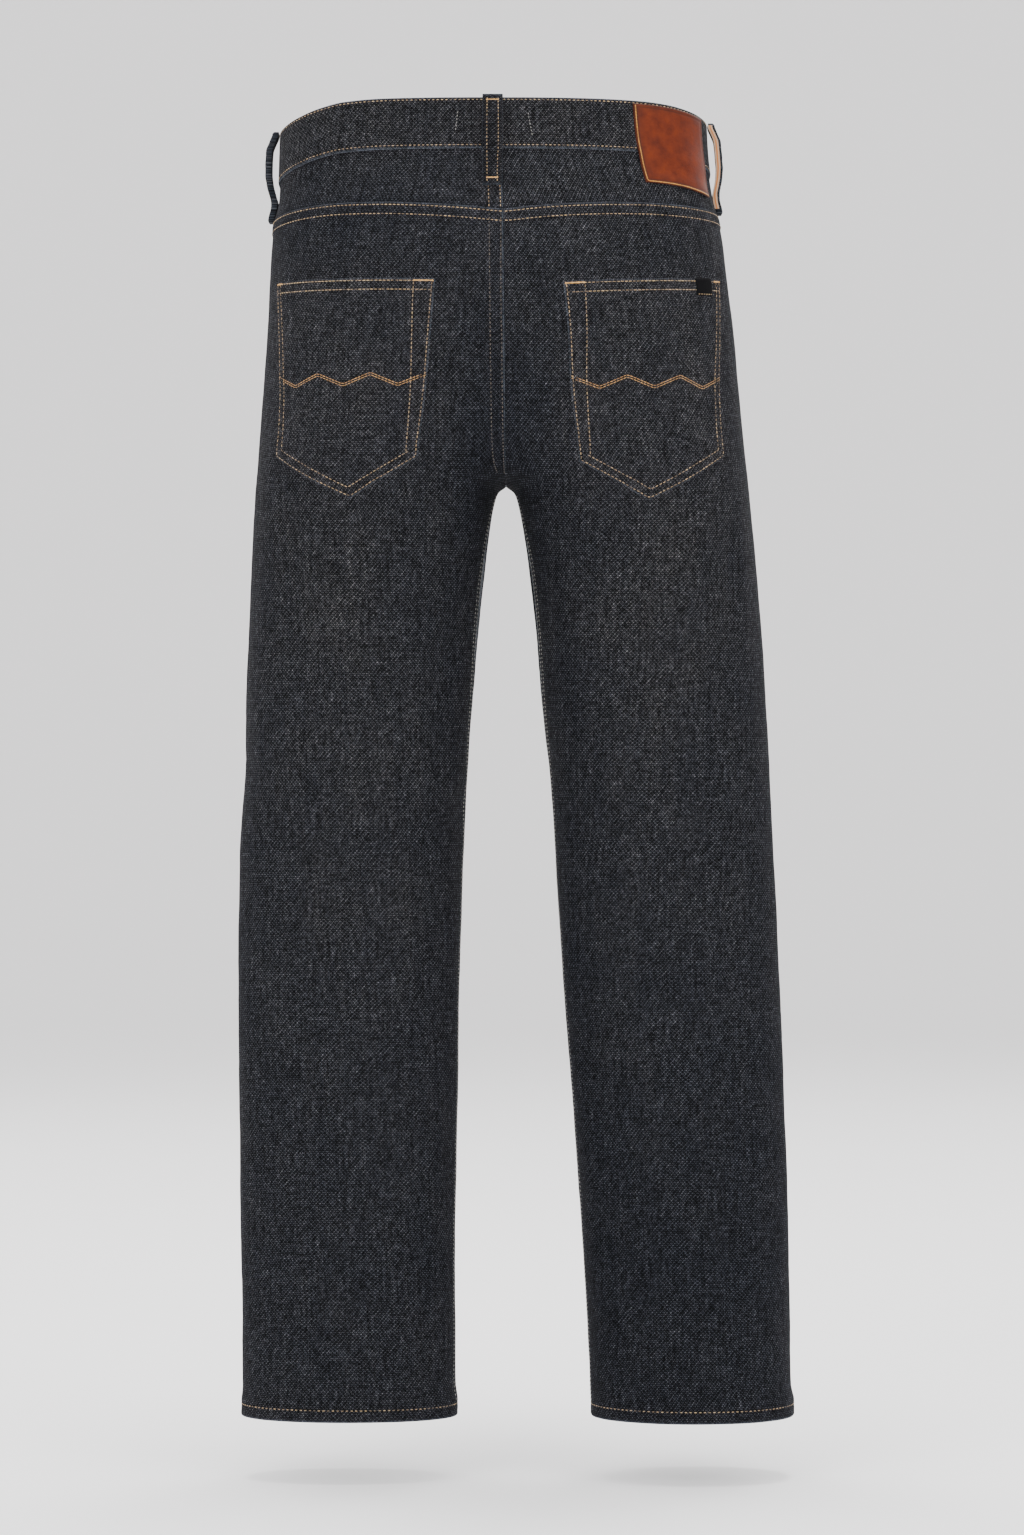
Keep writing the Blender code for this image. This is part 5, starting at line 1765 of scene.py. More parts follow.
    def band(self) -> bpy.types.Object:
        """Builds the waistband: one strip whose left end laps over its right end.

        Returns:
            The waistband.
        """
        drops = np.array((0.0, 0.4, 1.1, 1.9, 2.7, 4.5, 8.0, 13.0, 19.0, 25.0, 31.0, 35.0, 37.6, 38.4, 39.2,
                          40.2, 41.0, 41.4)) * MM
        low = Cut.band_height - drops
        profile = -0.9 * MM * turned(drops, 1.3 * MM)
        profile -= 0.5 * MM * turned(low, 0.9 * MM)
        profile -= 0.25 * MM * bell(drops - 1.9 * MM, 0.8 * MM)
        profile -= 0.25 * MM * bell(low - 2.6 * MM, 0.8 * MM)
        parts = {name: [] for name in ("outer", "inner", "across", "height", "wear")}
        for side in (Side.LEFT, Side.RIGHT):
            _, front = self.form.reaches(side, 0.0)
            along = self.band_spots(side)
            if side is Side.RIGHT:
                along = along[::-1][1:]
            heights = self.form.band_top(side, along)[None, :] - drops[:, None]
            spots = self.form.carried(side, along[None, :], heights)
            depth = np.full(heights.shape, Cut.band_proud)
            if side is Side.RIGHT:
                ramp = -front + Cut.fly_overlap + self.underlap_clear + self.underlap_ramp
                under = np.clip((ramp - along) / self.underlap_ramp, 0.0, 1.0)
                depth = depth - ease(0.0, 1.0, under) * (Cut.band_wall + Cut.gap)
            gather = pucker(spots, np.broadcast_to(drops[:, None], heights.shape), 0.14 * MM, 12 * MM)
            gather += pucker(spots + 0.2, np.broadcast_to(low[:, None], heights.shape), 0.14 * MM, 12 * MM)
            face = depth + profile[:, None] + gather
            back_face = depth - Cut.band_wall - np.clip(profile, -0.6 * MM, 0.0)[:, None]
            parts["outer"].append(self.form.points(side, spots, heights, face))
            parts["inner"].append(self.form.points(side, spots, heights, back_face))
            waist_back, _ = self.form.reaches(side, 0.0)
            parts["across"].append((along - waist_back)[None, :] * side.value + np.zeros_like(heights))
            parts["height"].append(0.0 - np.broadcast_to(drops[:, None], heights.shape))
            edge = 0.55 * bell(drops, 0.8 * MM) + 0.75 * bell(low, 0.8 * MM)
            parts["wear"].append(np.broadcast_to(edge[:, None], heights.shape))
        whole = {name: np.concatenate(values, axis=1) for name, values in parts.items()}
        grid = ClothGrid("waistband", whole["outer"], whole["inner"], whole["across"], whole["height"],
                         np.full(whole["height"].shape, 0.16), whole["wear"], reverse=0.0)
        piece = grid.make()
        dress(piece, self.wardrobe.denim, ["waistband"])
        self.band_rows()
        LOG.info("waistband built")
        return piece

    def band_rows(self) -> None:
        """Sews the waistband's two rows and the two short cream marks at the back."""
        rows, ticks = [], []
        for side in (Side.LEFT, Side.RIGHT):
            _, front = self.form.reaches(side, 0.0)
            along = self.band_spots(side)
            if side is Side.RIGHT:
                along = along[along > -front + Cut.fly_overlap + 2 * MM]
            else:
                along = along[along > along[0] + 2 * MM]
            along = np.linspace(along[0], along[-1], 400)
            for drop in (1.9 * MM, Cut.band_height - 2.6 * MM):
                heights = self.form.band_top(side, along) - drop
                spots = self.form.carried(side, along, heights)
                rows.append(row_on(self.form, side, spots, heights, Cut.band_proud - 0.2 * MM))
        self.box.sew("waistband_stitches", rows, self.wardrobe, Thread.TAN, pitch=3.5 * MM)
        marks = ((Side.LEFT, 28.5 * MM, 11 * MM, 27 * MM), (Side.RIGHT, 27.5 * MM, 12 * MM, 31 * MM))
        for side, off, top, low in marks:
            back, _ = self.form.reaches(side, 0.0)
            drops = np.linspace(top, low, 12)
            heights = self.form.band_top(side, np.full(12, back - off)) - drops
            spots = self.form.carried(side, np.full(12, back - off), heights) - 0.12 * (drops - top)
            ticks.append(row_on(self.form, side, spots, heights, Cut.band_proud - 0.05 * MM))
        self.box.sew("waistband_marks", ticks, self.wardrobe, Thread.CREAM, width=0.55 * MM, pitch=2.6 * MM)

    def loop(self, name: str, side: Side, spot: Spot) -> bpy.types.Object:
        """Builds a belt loop with its rows and its bar tacks.

        Args:
            name: The loop's name, which is its node's.
            side: The side whose distances round it is measured on.
            spot: Where on the waistband it is centred.

        Returns:
            The loop.
        """
        back, front = (float(value) for value in self.form.reaches(side, 0.0))
        centre = {Spot.BACK: back, Spot.SIDE: 0.0, Spot.FRONT: self.front_loop - front}[spot]
        top = float(self.form.band_top(side, np.full(1, centre))[0])
        path = np.array(self.loop_path) * MM
        wall = self.loop_wall + self.side_extra * (spot is Spot.SIDE)
        seam = self.form.size("middle", np.full(1, top - path[0, 0]))
        drops = np.linspace(path[0, 0], path[-1, 0], 60)
        offs = monotone(path[:, 0], path[:, 1], drops)
        across = self.loop_width * np.array((0.5, 0.485, 0.45, 0.40, 0.34, 0.30, 0.262, 0.22, 0.12, 0.0,
                                             -0.12, -0.22,
                                             -0.262, -0.30, -0.34, -0.40, -0.45, -0.485, -0.5))
        heights = np.broadcast_to(top - drops[:, None], (60, len(across)))

        def place(shift: Places, level: np.ndarray) -> np.ndarray:
            """Distances round of places on the loop.

            Args:
                shift: Distances across the loop from its middle.
                level: Heights.

            Returns:
                Distances round, carried with the cloth that the loop hangs on.
            """
            here_back, here_front = self.form.reaches(side, level)
            upright = here_back - back + side.value * (self.form.size("middle", level) - seam)
            moved = {Spot.BACK: upright, Spot.SIDE: 0.0, Spot.FRONT: front - here_front}[spot]
            return centre + shift + moved

        spots = place(across[None, :], heights)
        share = np.abs(across) / (self.loop_width / 2)
        rounding = -0.8 * MM * np.clip((share - 0.88) / 0.12, 0.0, 1.0) ** 2
        rounding -= 0.22 * MM * bell(share - 2 * self.loop_row, 0.06)
        end = np.minimum(drops - drops[0], drops[-1] - drops) / MM
        rounding = rounding[None, :] - 0.9 * MM * np.clip(1 - end / 1.5, 0.0, 1.0)[:, None] ** 2
        bumps = 0.12 * MM * np.sin(drops / (1.7 * MM))[:, None] * np.ones_like(heights)
        outer = self.form.points(side, spots, heights, offs[:, None] + wall + rounding + bumps)
        inner = self.form.points(side, spots, heights,
                                 offs[:, None] - 0.5 * np.maximum(rounding, -0.6 * MM))
        wear = np.broadcast_to(0.30 * np.clip((share - 0.9) / 0.1, 0.0, 1.0)[None, :], heights.shape)
        wear = np.maximum(wear, np.clip(1 - end / 2.0, 0.0, 1.0)[:, None] * 0.4)
        run = np.broadcast_to(drops[:, None], heights.shape)
        grid = ClothGrid(name, outer, inner, np.broadcast_to(across[None, :], heights.shape) * side.value,
                         -run,
                         np.full(heights.shape, -0.02), wear, reverse=0.0)
        piece = grid.make()
        dress(piece, self.wardrobe.loop_denim, [name])
        lift = wall - 0.18 * MM
        inside = (drops > drops[0] + 2.5 * MM) & (drops < drops[-1] - 2.0 * MM)
        rows = []
        for sign in (1, -1):
            level = top - drops[inside]
            shift = sign * self.loop_row * self.loop_width
            rows.append(row_on(self.form, side, place(shift, level), level, offs[inside] + lift))
        self.box.sew(f"{name}_stitches", rows, self.wardrobe, Thread.TAN, pitch=2.9 * MM, width=0.60 * MM,
                     cover=0.5)
        tacks = []
        for drop in (2.6 * MM, 66.0 * MM):
            tacks.append(self.bar(side, place, top - drop, float(np.interp(drop, drops, offs)) + wall))
        self.box.sew(f"{name}_tacks", tacks, self.wardrobe, Thread.GOLD, pitch=0.9 * MM, width=0.75 * MM,
                     cover=1.25)
        LOG.info("%s built", name)
        return piece

    def bar(self, side: Side, place: Callable, level: float, lift: float) -> Pair:
        """A bar tack's zigzag path across a loop at one height.

        Args:
            side: The side of the body.
            place: Gives distances round from distances across the loop and heights.
            level: The bar tack's height.
            lift: How far it stands out.

        Returns:
            The points and their directions.
        """
        count = 26
        shift = np.linspace(-0.29, 0.29, count) * self.loop_width
        heights = level + 0.55 * MM * np.where(np.arange(count) % 2, 1.0, -1.0)
        return row_on(self.form, side, place(shift, heights), heights, lift)

    def selvedge(self) -> None:
        """Builds the pale self edge with its coloured line along the right side loop's back edge."""
        side = Side.RIGHT
        top = float(self.form.band_top(side, np.zeros(1))[0])
        path = np.array(self.loop_path) * MM
        drops = np.linspace(path[0, 0] + 1.5 * MM, path[-1, 0] - 4 * MM, 50)
        offs = monotone(path[:, 0], path[:, 1], drops)
        heights = top - drops
        for name, low, high, out, material in (
            ("loop_selvedge", -0.06, 0.62, 0.30 * MM, self.wardrobe.selvedge),
            ("loop_selvedge_line", 0.18, 0.38, 0.55 * MM, self.wardrobe.selvedge_line),
        ):
            lifts = offs[:, None] + (self.loop_wall + self.side_extra) * np.linspace(low, high, 5)[None, :]
            edge = self.loop_width / 2
            outer = self.form.points(side, edge + out, heights[:, None], lifts)
            inner = self.form.points(side, edge - 0.5 * MM, heights[:, None], lifts)
            grid = ClothGrid(name, outer, inner, lifts, np.broadcast_to(heights[:, None], lifts.shape),
                             np.zeros_like(lifts), np.zeros_like(lifts))
            dress(grid.make(), material)

    def patch(self) -> bpy.types.Object:
        """Builds the bare leather patch and the sewing round it.

        Returns:
            The patch.
        """
        side = Side.RIGHT
        edge = np.array((0.0, 0.4, 1.0, 1.8, 2.6, 3.6)) * MM
        width = self.patch_inner - self.patch_outer
        over = np.concatenate([edge, np.linspace(5.0 * MM, width - 5.0 * MM, 44), width - edge[::-1]])
        down = np.concatenate([edge, np.linspace(5.0 * MM, self.patch_height - 5.0 * MM, 40),
                               self.patch_height - edge[::-1]])
        along = self.patch_inner - over
        top = self.form.band_top(side, along) - self.patch_drop
        heights = top[None, :] - down[:, None]
        spots = self.form.carried(side, along[None, :], heights)
        foot = self.form.band_top(side, along)[None, :] - Cut.band_height
        lift = lerp(0.6 * MM, Cut.band_proud + Cut.gap, ease(-16 * MM, 1.5 * MM, heights - foot))
        rim = np.minimum(np.minimum(over, width - over)[None, :],
                         np.minimum(down, self.patch_height - down)[:, None])
        press = -0.6 * MM * turned(rim, 1.0 * MM)
        press -= 0.28 * MM * bell(rim - 2.6 * MM, 0.7 * MM)
        swell = 0.35 * MM * np.sin(over / (11 * MM))[None, :] * np.sin(down / (13 * MM) + 0.6)[:, None]
        face = lift + self.patch_wall + press + swell * ease(3 * MM, 9 * MM, rim)
        outer = self.form.points(side, spots, heights, face)
        inner = self.form.points(side, spots, heights, lift)
        wear = np.clip(1 - rim / (1.6 * MM), 0.0, 1.0) + 0.35 * np.clip(1 - rim / (9 * MM), 0.0, 1.0)
        wear += 0.8 * bell(rim - 2.6 * MM, 0.6 * MM)
        grid = ClothGrid("waist_patch", outer, inner, spots * side.value, heights, np.zeros_like(heights),
                         np.clip(wear, 0.0, 1.0))
        piece = grid.make()
        dress(piece, self.wardrobe.leather, ["waist_patch"])
        off = 1.2 * MM
        a = np.linspace(off, width - off, 60)
        d = np.linspace(off, self.patch_height - off, 50)
        ring_over = np.concatenate([np.full(50, off), a])
        ring_down = np.concatenate([d, np.full(60, self.patch_height - off)])
        ring_along = self.patch_inner - ring_over
        ring_top = self.form.band_top(side, ring_along)
        ring_height = ring_top - self.patch_drop - ring_down
        ring_spots = self.form.carried(side, ring_along, ring_height)
        ring_lift = lerp(0.6 * MM, Cut.band_proud + Cut.gap,
                         ease(-16 * MM, 1.5 * MM, ring_height - ring_top + Cut.band_height))
        row = row_on(self.form, side, ring_spots, ring_height, ring_lift + self.patch_wall - 0.05 * MM)
        self.box.sew("patch_stitches", [row], self.wardrobe, Thread.OCHRE, pitch=2.4 * MM, width=0.9 * MM,
                     cover=0.95)
        LOG.info("waist_patch built")
        return piece

    def button(self) -> bpy.types.Object:
        """Builds the shank button's head: a domed cap with a ring pressed into it, in front of the band.

        Returns:
            The button's head.
        """
        low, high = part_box("waist_button")
        centre = (low + high) / 2
        bpy.ops.object.select_all(action="DESELECT")
        bpy.ops.mesh.primitive_cylinder_add(vertices=40, radius=8.4 * MM, depth=2.6 * MM,
                                            end_fill_type="NGON",
                                            location=(0, 0, 0))
        made = bpy.context.object
        made.name = made.data.name = "shank_button"
        bpy.ops.object.mode_set(mode="EDIT")
        bpy.ops.mesh.select_mode(type="FACE")
        bpy.ops.mesh.select_all(action="DESELECT")
        bpy.ops.object.mode_set(mode="OBJECT")
        for face in made.data.polygons:
            face.select = face.normal.z > 0.9
        bpy.ops.object.mode_set(mode="EDIT")
        for inset, rise in ((0.9 * MM, 0.45 * MM), (1.0 * MM, 0.0), (0.5 * MM, -0.55 * MM), (2.6 * MM, 0.0),
                            (0.4 * MM, 0.35 * MM), (1.4 * MM, 0.25 * MM)):
            bpy.ops.mesh.inset(thickness=inset)
            bpy.ops.transform.translate(value=(0, 0, rise))
        bpy.ops.object.mode_set(mode="OBJECT")
        bevel = made.modifiers.new("soft", "BEVEL")
        bevel.width, bevel.segments, bevel.limit_method = 0.25 * MM, 2, "ANGLE"
        bevel.angle_limit = math.radians(25)
        bpy.ops.object.modifier_apply(modifier="soft")
        levels = self.form.band_top(Side.LEFT, np.full(1, -0.2)) - Cut.band_height * np.array((0.0, 1.0))
        _, front = self.form.reaches(Side.LEFT, levels)
        top, foot = self.form.points(Side.LEFT, 6 * MM - front, levels, Cut.band_proud)
        lean = math.atan2(top[1] - foot[1], top[2] - foot[2])
        turn = Matrix.Rotation(-lean, 4, "X") @ Matrix.Rotation(math.radians(90), 4, "X")
        made.data.transform(Matrix.Translation(centre) @ turn)
        made.data.shade_smooth()
        made.data.set_sharp_from_angle(angle=math.radians(35))
        dress(made, self.wardrobe.brass, ["waist_button"])
        LOG.info("shank_button built")
        return made


# --------------------------------------------------------------------------------------------------------
# Back pockets
# --------------------------------------------------------------------------------------------------------


@dataclass
class BackPocket:
    """A patch pocket with a pointed foot, laid on its back panel.

    Lengths are centimetres: distances round of its corners and tip, and their heights.
    """

    form: WornForm
    side: Side
    wardrobe: Wardrobe
    box: StitchBox
    top_in: tuple
    top_out: tuple
    low_in: tuple
    low_out: tuple
    tip: tuple
    tip_share: float = 0.45
    bagging: float = 0.9 * MM
    foot_slope: float = 0.90
    zigzags: float = 3.0
    zigzag_level: float = 0.56
    zigzag_height: float = 9 * MM
    top_width: float = 0.154
    foot_width: float = 0.14
    # Where the label starts and ends, as shares of the way along the top edge.
    label_ends: tuple = (0.773, 0.905)
    label_row_ends: tuple = (0.779, 0.899)

    def edges(self, height: np.ndarray) -> Pair:
        """Distances round of the inner and outer edge lines at each height.

        Args:
            height: Heights.

        Returns:
            Distances round of the inner edge, and of the outer one.
        """
        share = np.clip((self.top_in[1] * CM - height) / ((self.top_in[1] - self.low_in[1]) * CM), 0.0, 1.0)
        inner = lerp(self.top_in[0], self.low_in[0], share) * CM
        outer = lerp(self.top_out[0], self.low_out[0], share) * CM
        return inner, outer

    def top_line(self, share: np.ndarray) -> np.ndarray:
        """Height of the top edge at shares from the inner edge to the outer one."""
        return lerp(self.top_in[1], self.top_out[1], share) * CM

    def foot_line(self, share: np.ndarray) -> np.ndarray:
        """Height of the pointed foot at shares from the inner edge to the outer one.

        Args:
            share: Shares of the way from the inner edge to the outer one.

        Returns:
            Heights.
        """
        base = lerp(self.low_in[1], self.low_out[1], share) * CM
        at_tip = lerp(self.low_in[1], self.low_out[1], self.tip_share) * CM
        drop = np.interp(share, (0.0, self.tip_share, 1.0), (0.0, 1.0, 0.0))
        return base - drop * (at_tip - self.tip[1] * CM)

    def at(self, share: np.ndarray, height: np.ndarray) -> np.ndarray:
        """Distances round at shares from the inner edge to the outer one."""
        inner, outer = self.edges(height)
        return lerp(inner, outer, share)

    def rim(self, share: np.ndarray, height: np.ndarray) -> np.ndarray:
        """How far inside the pocket's nearest edge each point lies.

        Args:
            share: Shares of the way from the inner edge to the outer one.
            height: Heights.

        Returns:
            Distances in.
        """
        inner, outer = self.edges(height)
        along = lerp(inner, outer, share)
        from_sides = np.minimum(inner - along, along - outer)
        from_foot = (height - self.foot_line(share)) * self.foot_slope
        return np.maximum(np.minimum(np.minimum(from_sides, self.top_line(share) - height), from_foot), 0.0)

    def swell(self, rim: np.ndarray) -> np.ndarray:
        """How far the pocket bags out, by the distance inside its edge."""
        return self.bagging * ease(0.0, 40 * MM, rim)

    def sewn(self, share: np.ndarray, height: np.ndarray) -> Pair:
        """A stitch row on the pocket's face."""
        lifts = Cut.gap + Cut.pocket_wall + self.swell(self.rim(share, height)) - 0.04 * MM
        return row_on(self.form, self.side, self.at(share, height), height, lifts)

    def make(self) -> bpy.types.Object:
        """Builds the pocket.

        Returns:
            The pocket.
        """
        edge = np.array((0.0, 0.003, 0.008, 0.014, 0.020, 0.028, 0.042, 0.058, 0.075, 0.095))
        near_tip = self.tip_share + np.array((-0.012, -0.005, 0.0, 0.005, 0.012))
        share = np.unique(np.concatenate([edge, np.linspace(0.11, 0.43, 18), near_tip,
                                          np.linspace(0.47, 0.89, 22),
                                          1 - edge]))
        fine = np.array((0.0, 0.003, 0.008, 0.013, 0.018, 0.026, 0.038, 0.05, 0.058, 0.066))
        down = np.unique(np.concatenate([fine, np.linspace(0.08, 0.92, 44), 1 - fine]))
        top, foot = self.top_line(share), self.foot_line(share)
        heights = lerp(top[None, :], foot[None, :], down[:, None])
        along = self.at(share[None, :], heights)
        rim = self.rim(share[None, :], heights)
        grow = Cut.gap + Cut.pocket_wall - 0.5 * MM * turned(rim, 0.9 * MM)
        grow += 0.15 * MM * bell(rim - 5 * MM, 2.5 * MM)
        grow += self.swell(rim) + pucker(along + heights, rim, 0.16 * MM, 9 * MM)
        outer = self.form.points(self.side, along, heights, grow)
        inner = self.form.points(self.side, along, heights, Cut.gap)
        wear = bell(rim, 0.8 * MM) * lerp(0.60, 0.30, share)[None, :]
        name = f"back_pocket_{self.side.word}"
        fade = self.form.fade(self.side, along, heights) * 0.6 + 0.05
        fade = fade + 0.10 * bell(rim - 5 * MM, 4 * MM)
        grid = ClothGrid(name, outer, inner, along * self.side.value, heights, fade, wear, reverse=0.0)
        piece = grid.make()
        dress(piece, self.wardrobe.pocket_denim, [name])
        self.rows()
        LOG.info("%s built", name)
        return piece

    def lift(self, rim: float) -> float:
        """How far the pocket's face stands out, a given distance in from the rim."""
        return Cut.gap + Cut.pocket_wall + float(self.swell(np.array(rim))) - 0.05 * MM

    def edge_row(self, off_top: float, off_low: float, outer: bool) -> Pair:
        """A row down one side edge, its distance in from the edge changing from top to foot.

        Args:
            off_top: Its distance in at the top.
            off_low: Its distance in at the foot.
            outer: Whether the edge is the outer one.

        Returns:
            The points and their directions.
        """
        side = 1.0 if outer else 0.0
        top, low = float(self.top_line(side)), float(self.foot_line(side))
        heights = np.linspace(top - 2 * MM, low, 110)
        off = np.interp(heights, (low, top), (off_low, off_top))
        inner, outer_line = self.edges(heights)
        share = off / (inner - outer_line)
        share = 1.0 - share if outer else share
        kept = heights > self.foot_line(share) + off_low
        return self.sewn(share[kept], heights[kept])

    def foot_row(self, off: float) -> Pair:
        """A row along the pointed foot."""
        share = np.linspace(off / self.foot_width, 1 - off / self.foot_width, 130)
        return self.sewn(share, self.foot_line(share) + off / self.foot_slope)

    def top_row(self, off: float) -> Pair:
        """A row along the top edge."""
        share = np.linspace(0.012, 0.988, 130)
        return self.sewn(share, self.top_line(share) - off)

    def zigzag(self, off: float) -> Pair:
        """One row of the plain straight-sided zigzag across the pocket.

        Args:
            off: How far it is moved down.

        Returns:
            The points and their directions.
        """
        share = np.linspace(0.004, 0.996, 260)
        wave = np.abs(((share * self.zigzags) % 1.0) * 2 - 1)
        middle = lerp(self.top_line(share), self.foot_line(0.0), self.zigzag_level)
        return self.sewn(share, middle + self.zigzag_height * (wave - 0.5) - off)

    def tacks(self) -> list[Pair]:
        """The two bar tacks at the top corners.

        Returns:
            A row for each tack.
        """
        made = []
        for low, high in ((0.008, 0.112), (0.935, 0.992)):
            count = int((high - low) * self.top_width / (0.55 * MM))
            share = np.linspace(low, high, count)
            heights = self.top_line(share) - 1.7 * MM + 0.6 * MM * np.where(np.arange(count) % 2, 1.0, -1.0)
            base, out = self.sewn(share, heights)
            made.append((base + out * 0.25 * MM, out))
        return made

    def rows(self) -> None:
        """Sews the pocket down and decorates it."""
        word = self.side.word
        outline = [
            self.edge_row(2.2 * MM, 1.8 * MM, False), self.edge_row(17.0 * MM, 9.0 * MM, False),
            self.edge_row(2.0 * MM, 1.8 * MM, True), self.edge_row(7.0 * MM, 7.5 * MM, True),
            self.foot_row(1.8 * MM), self.foot_row(8.0 * MM),
        ]
        self.box.sew(f"pocket_stitches_{word}", outline, self.wardrobe, Thread.TAN, cover=0.60)
        tops = [self.top_row(1.9 * MM), self.top_row(9.0 * MM)]
        self.box.sew(f"pocket_top_stitches_{word}", tops, self.wardrobe, Thread.TAN, cover=0.74)
        zig = [self.zigzag(0.0), self.zigzag(1.8 * MM)]
        self.box.sew(f"pocket_zigzag_{word}", zig, self.wardrobe, Thread.GOLD, pitch=3.0 * MM,
                     width=0.44 * MM,
                     cover=0.76)
        self.box.sew(f"pocket_tacks_{word}", self.tacks(), self.wardrobe, Thread.GOLD, pitch=1.2 * MM,
                     width=0.8 * MM, cover=1.2)

    def label(self) -> bpy.types.Object:
        """Builds the bare black woven label, folded over the pocket's top edge.

        Returns:
            The label.
        """
        share = np.linspace(*self.label_ends, 22)
        top = self.top_line(share)
        drops = np.concatenate([[-0.4, 0.0, 0.4], np.linspace(1.0, 12.8, 16), [13.2, 13.4]]) * MM
        heights = top[None, :] - drops[:, None]
        along = self.at(share[None, :], heights)
        end = np.minimum(share - share[0], share[-1] - share)[None, :] * self.top_width
        lift = self.lift(4 * MM) + 1.0 * MM - 0.4 * MM * turned(end, 0.6 * MM)
        fold = turned(drops + 0.4 * MM, 1.2 * MM)[:, None]
        outer = self.form.points(self.side, along, heights, lift - 0.5 * MM * fold)
        inner = self.form.points(self.side, along, heights,
                                 self.lift(4 * MM) + 0.2 * MM + np.zeros_like(heights))
        grid = ClothGrid("pocket_label", outer, inner, along * self.side.value, heights,
                         np.zeros_like(heights), np.zeros_like(heights))
        piece = grid.make()
        dress(piece, self.wardrobe.label, ["pocket_label"])
        spots = np.linspace(*self.label_row_ends, 60)
        low = self.top_line(spots) - 12.4 * MM
        row = row_on(self.form, self.side, self.at(spots, low), low, self.lift(4 * MM) + 1.05 * MM)
        self.box.sew("label_stitches", [row], self.wardrobe, Thread.TAN, pitch=3.0 * MM)
        return piece


# --------------------------------------------------------------------------------------------------------
# Fly
# --------------------------------------------------------------------------------------------------------


@dataclass
class Fly:
    """The zip, its teeth and slider, and the shield behind them."""

    form: WornForm
    wardrobe: Wardrobe
    frame: dict
    tooth: tuple = (5.0 * MM, 1.3 * MM, 1.1 * MM)
    tooth_pitch: float = 2.2 * MM

    def strip(self, name: str, material: bpy.types.Material) -> None:
        """Dresses a strip that keeps its frame node's shape, with a map that runs along it.

        Args:
            name: The frame node's name.
            material: The strip's material.
        """
        piece = linked(f"{name}_cloth", self.frame["nodes"][name].data.copy())
        bpy.ops.object.select_all(action="DESELECT")
        piece.select_set(True)
        bpy.context.view_layer.objects.active = piece
        bpy.ops.object.mode_set(mode="EDIT")
        bpy.ops.mesh.select_all(action="SELECT")
        bpy.ops.mesh.remove_doubles(threshold=0.00001)
        bpy.ops.mesh.subdivide(number_cuts=2)
        bpy.ops.object.mode_set(mode="OBJECT")
        mesh = piece.data
        for layer in list(mesh.uv_layers):
            mesh.uv_layers.remove(layer)
        layer = mesh.uv_layers.new(name="cloth")
        for loop in mesh.loops:
            point = mesh.vertices[loop.vertex_index].co
            layer.data[loop.index].uv = (point.x, point.z)
        for number, value in (("fade", 0.0), ("wear", 0.0), ("inside", 0.6)):
            made = mesh.attributes.new(number, "FLOAT", "POINT")
            made.data.foreach_set("value", np.full(len(mesh.vertices), value, np.float32))
        dress(piece, material, [name])

    def teeth(self) -> bpy.types.Object:
        """Models one tooth and copies it down the zip's inner face.

        Returns:
            The teeth, as one piece.
        """
        low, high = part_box("fly_zip")
        bpy.ops.object.select_all(action="DESELECT")
        bpy.ops.mesh.primitive_cube_add(size=1.0)
        one = bpy.context.object
        one.data.transform(Matrix.Diagonal((*self.tooth, 1.0)))
        bevel = one.modifiers.new("soft", "BEVEL")
        bevel.width, bevel.segments = 0.2 * MM, 1
        bpy.ops.object.modifier_apply(modifier="soft")
        base = np.array([vertex.co[:] for vertex in one.data.vertices])
        faces = [tuple(face.vertices) for face in one.data.polygons]
        bpy.data.objects.remove(one, do_unlink=True)
        levels = np.arange(high.z - 2 * MM, low.z + 4 * MM, -self.tooth_pitch)
        _, front = self.form.reaches(Side.LEFT, levels)
        shift = 2 * MM + np.where(np.arange(len(levels)) % 2, 0.9 * MM, -0.9 * MM)
        spots = self.form.points(Side.LEFT, shift - front, levels, -Cut.wall - Cut.gap - 2.2 * MM)
        points, all_faces = [], []
        for index, spot in enumerate(spots):
            points.append(base + spot)
            all_faces += [tuple(index * len(base) + k for k in face) for face in faces]
        mesh = bpy.data.meshes.new("zip_teeth")
        mesh.from_pydata(np.concatenate(points).tolist(), [], all_faces)
        piece = linked("zip_teeth", mesh)
        dress(piece, self.wardrobe.brass)
        return piece

    def slider(self) -> bpy.types.Object:
        """Models the slider: a waisted body, at its node's place.

        Returns:
            The slider.
        """
        low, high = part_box("zip_slider")
        centre, size = (low + high) / 2, high - low
        bpy.ops.object.select_all(action="DESELECT")
        bpy.ops.mesh.primitive_cube_add(size=1.0)
        made = bpy.context.object
        made.name = made.data.name = "slider"
        made.data.transform(Matrix.Diagonal((size.x * 0.94, 2.2 * MM, size.z * 0.96, 1.0)))
        bpy.ops.object.mode_set(mode="EDIT")
        bpy.ops.mesh.select_all(action="SELECT")
        bpy.ops.mesh.subdivide(number_cuts=3)
        bpy.ops.object.mode_set(mode="OBJECT")
        for vertex in made.data.vertices:
            share = vertex.co.z / size.z
            vertex.co.x *= 0.80 + 0.35 * abs(share)
        bevel = made.modifiers.new("soft", "BEVEL")
        bevel.width, bevel.segments, bevel.limit_method = 0.35 * MM, 2, "ANGLE"
        bpy.ops.object.modifier_apply(modifier="soft")
        made.data.transform(Matrix.Translation(centre))
        made.data.shade_smooth()
        made.data.set_sharp_from_angle(angle=math.radians(40))
        dress(made, self.wardrobe.brass, ["zip_slider"])
        return made

    def make(self) -> None:
        """Builds the whole closing behind the fly."""
        self.strip("fly_zip", self.wardrobe.zip)
        self.strip("fly_shield", self.wardrobe.denim)
        self.teeth()
        self.slider()
        LOG.info("fly built")


# --------------------------------------------------------------------------------------------------------
# Studio
# --------------------------------------------------------------------------------------------------------


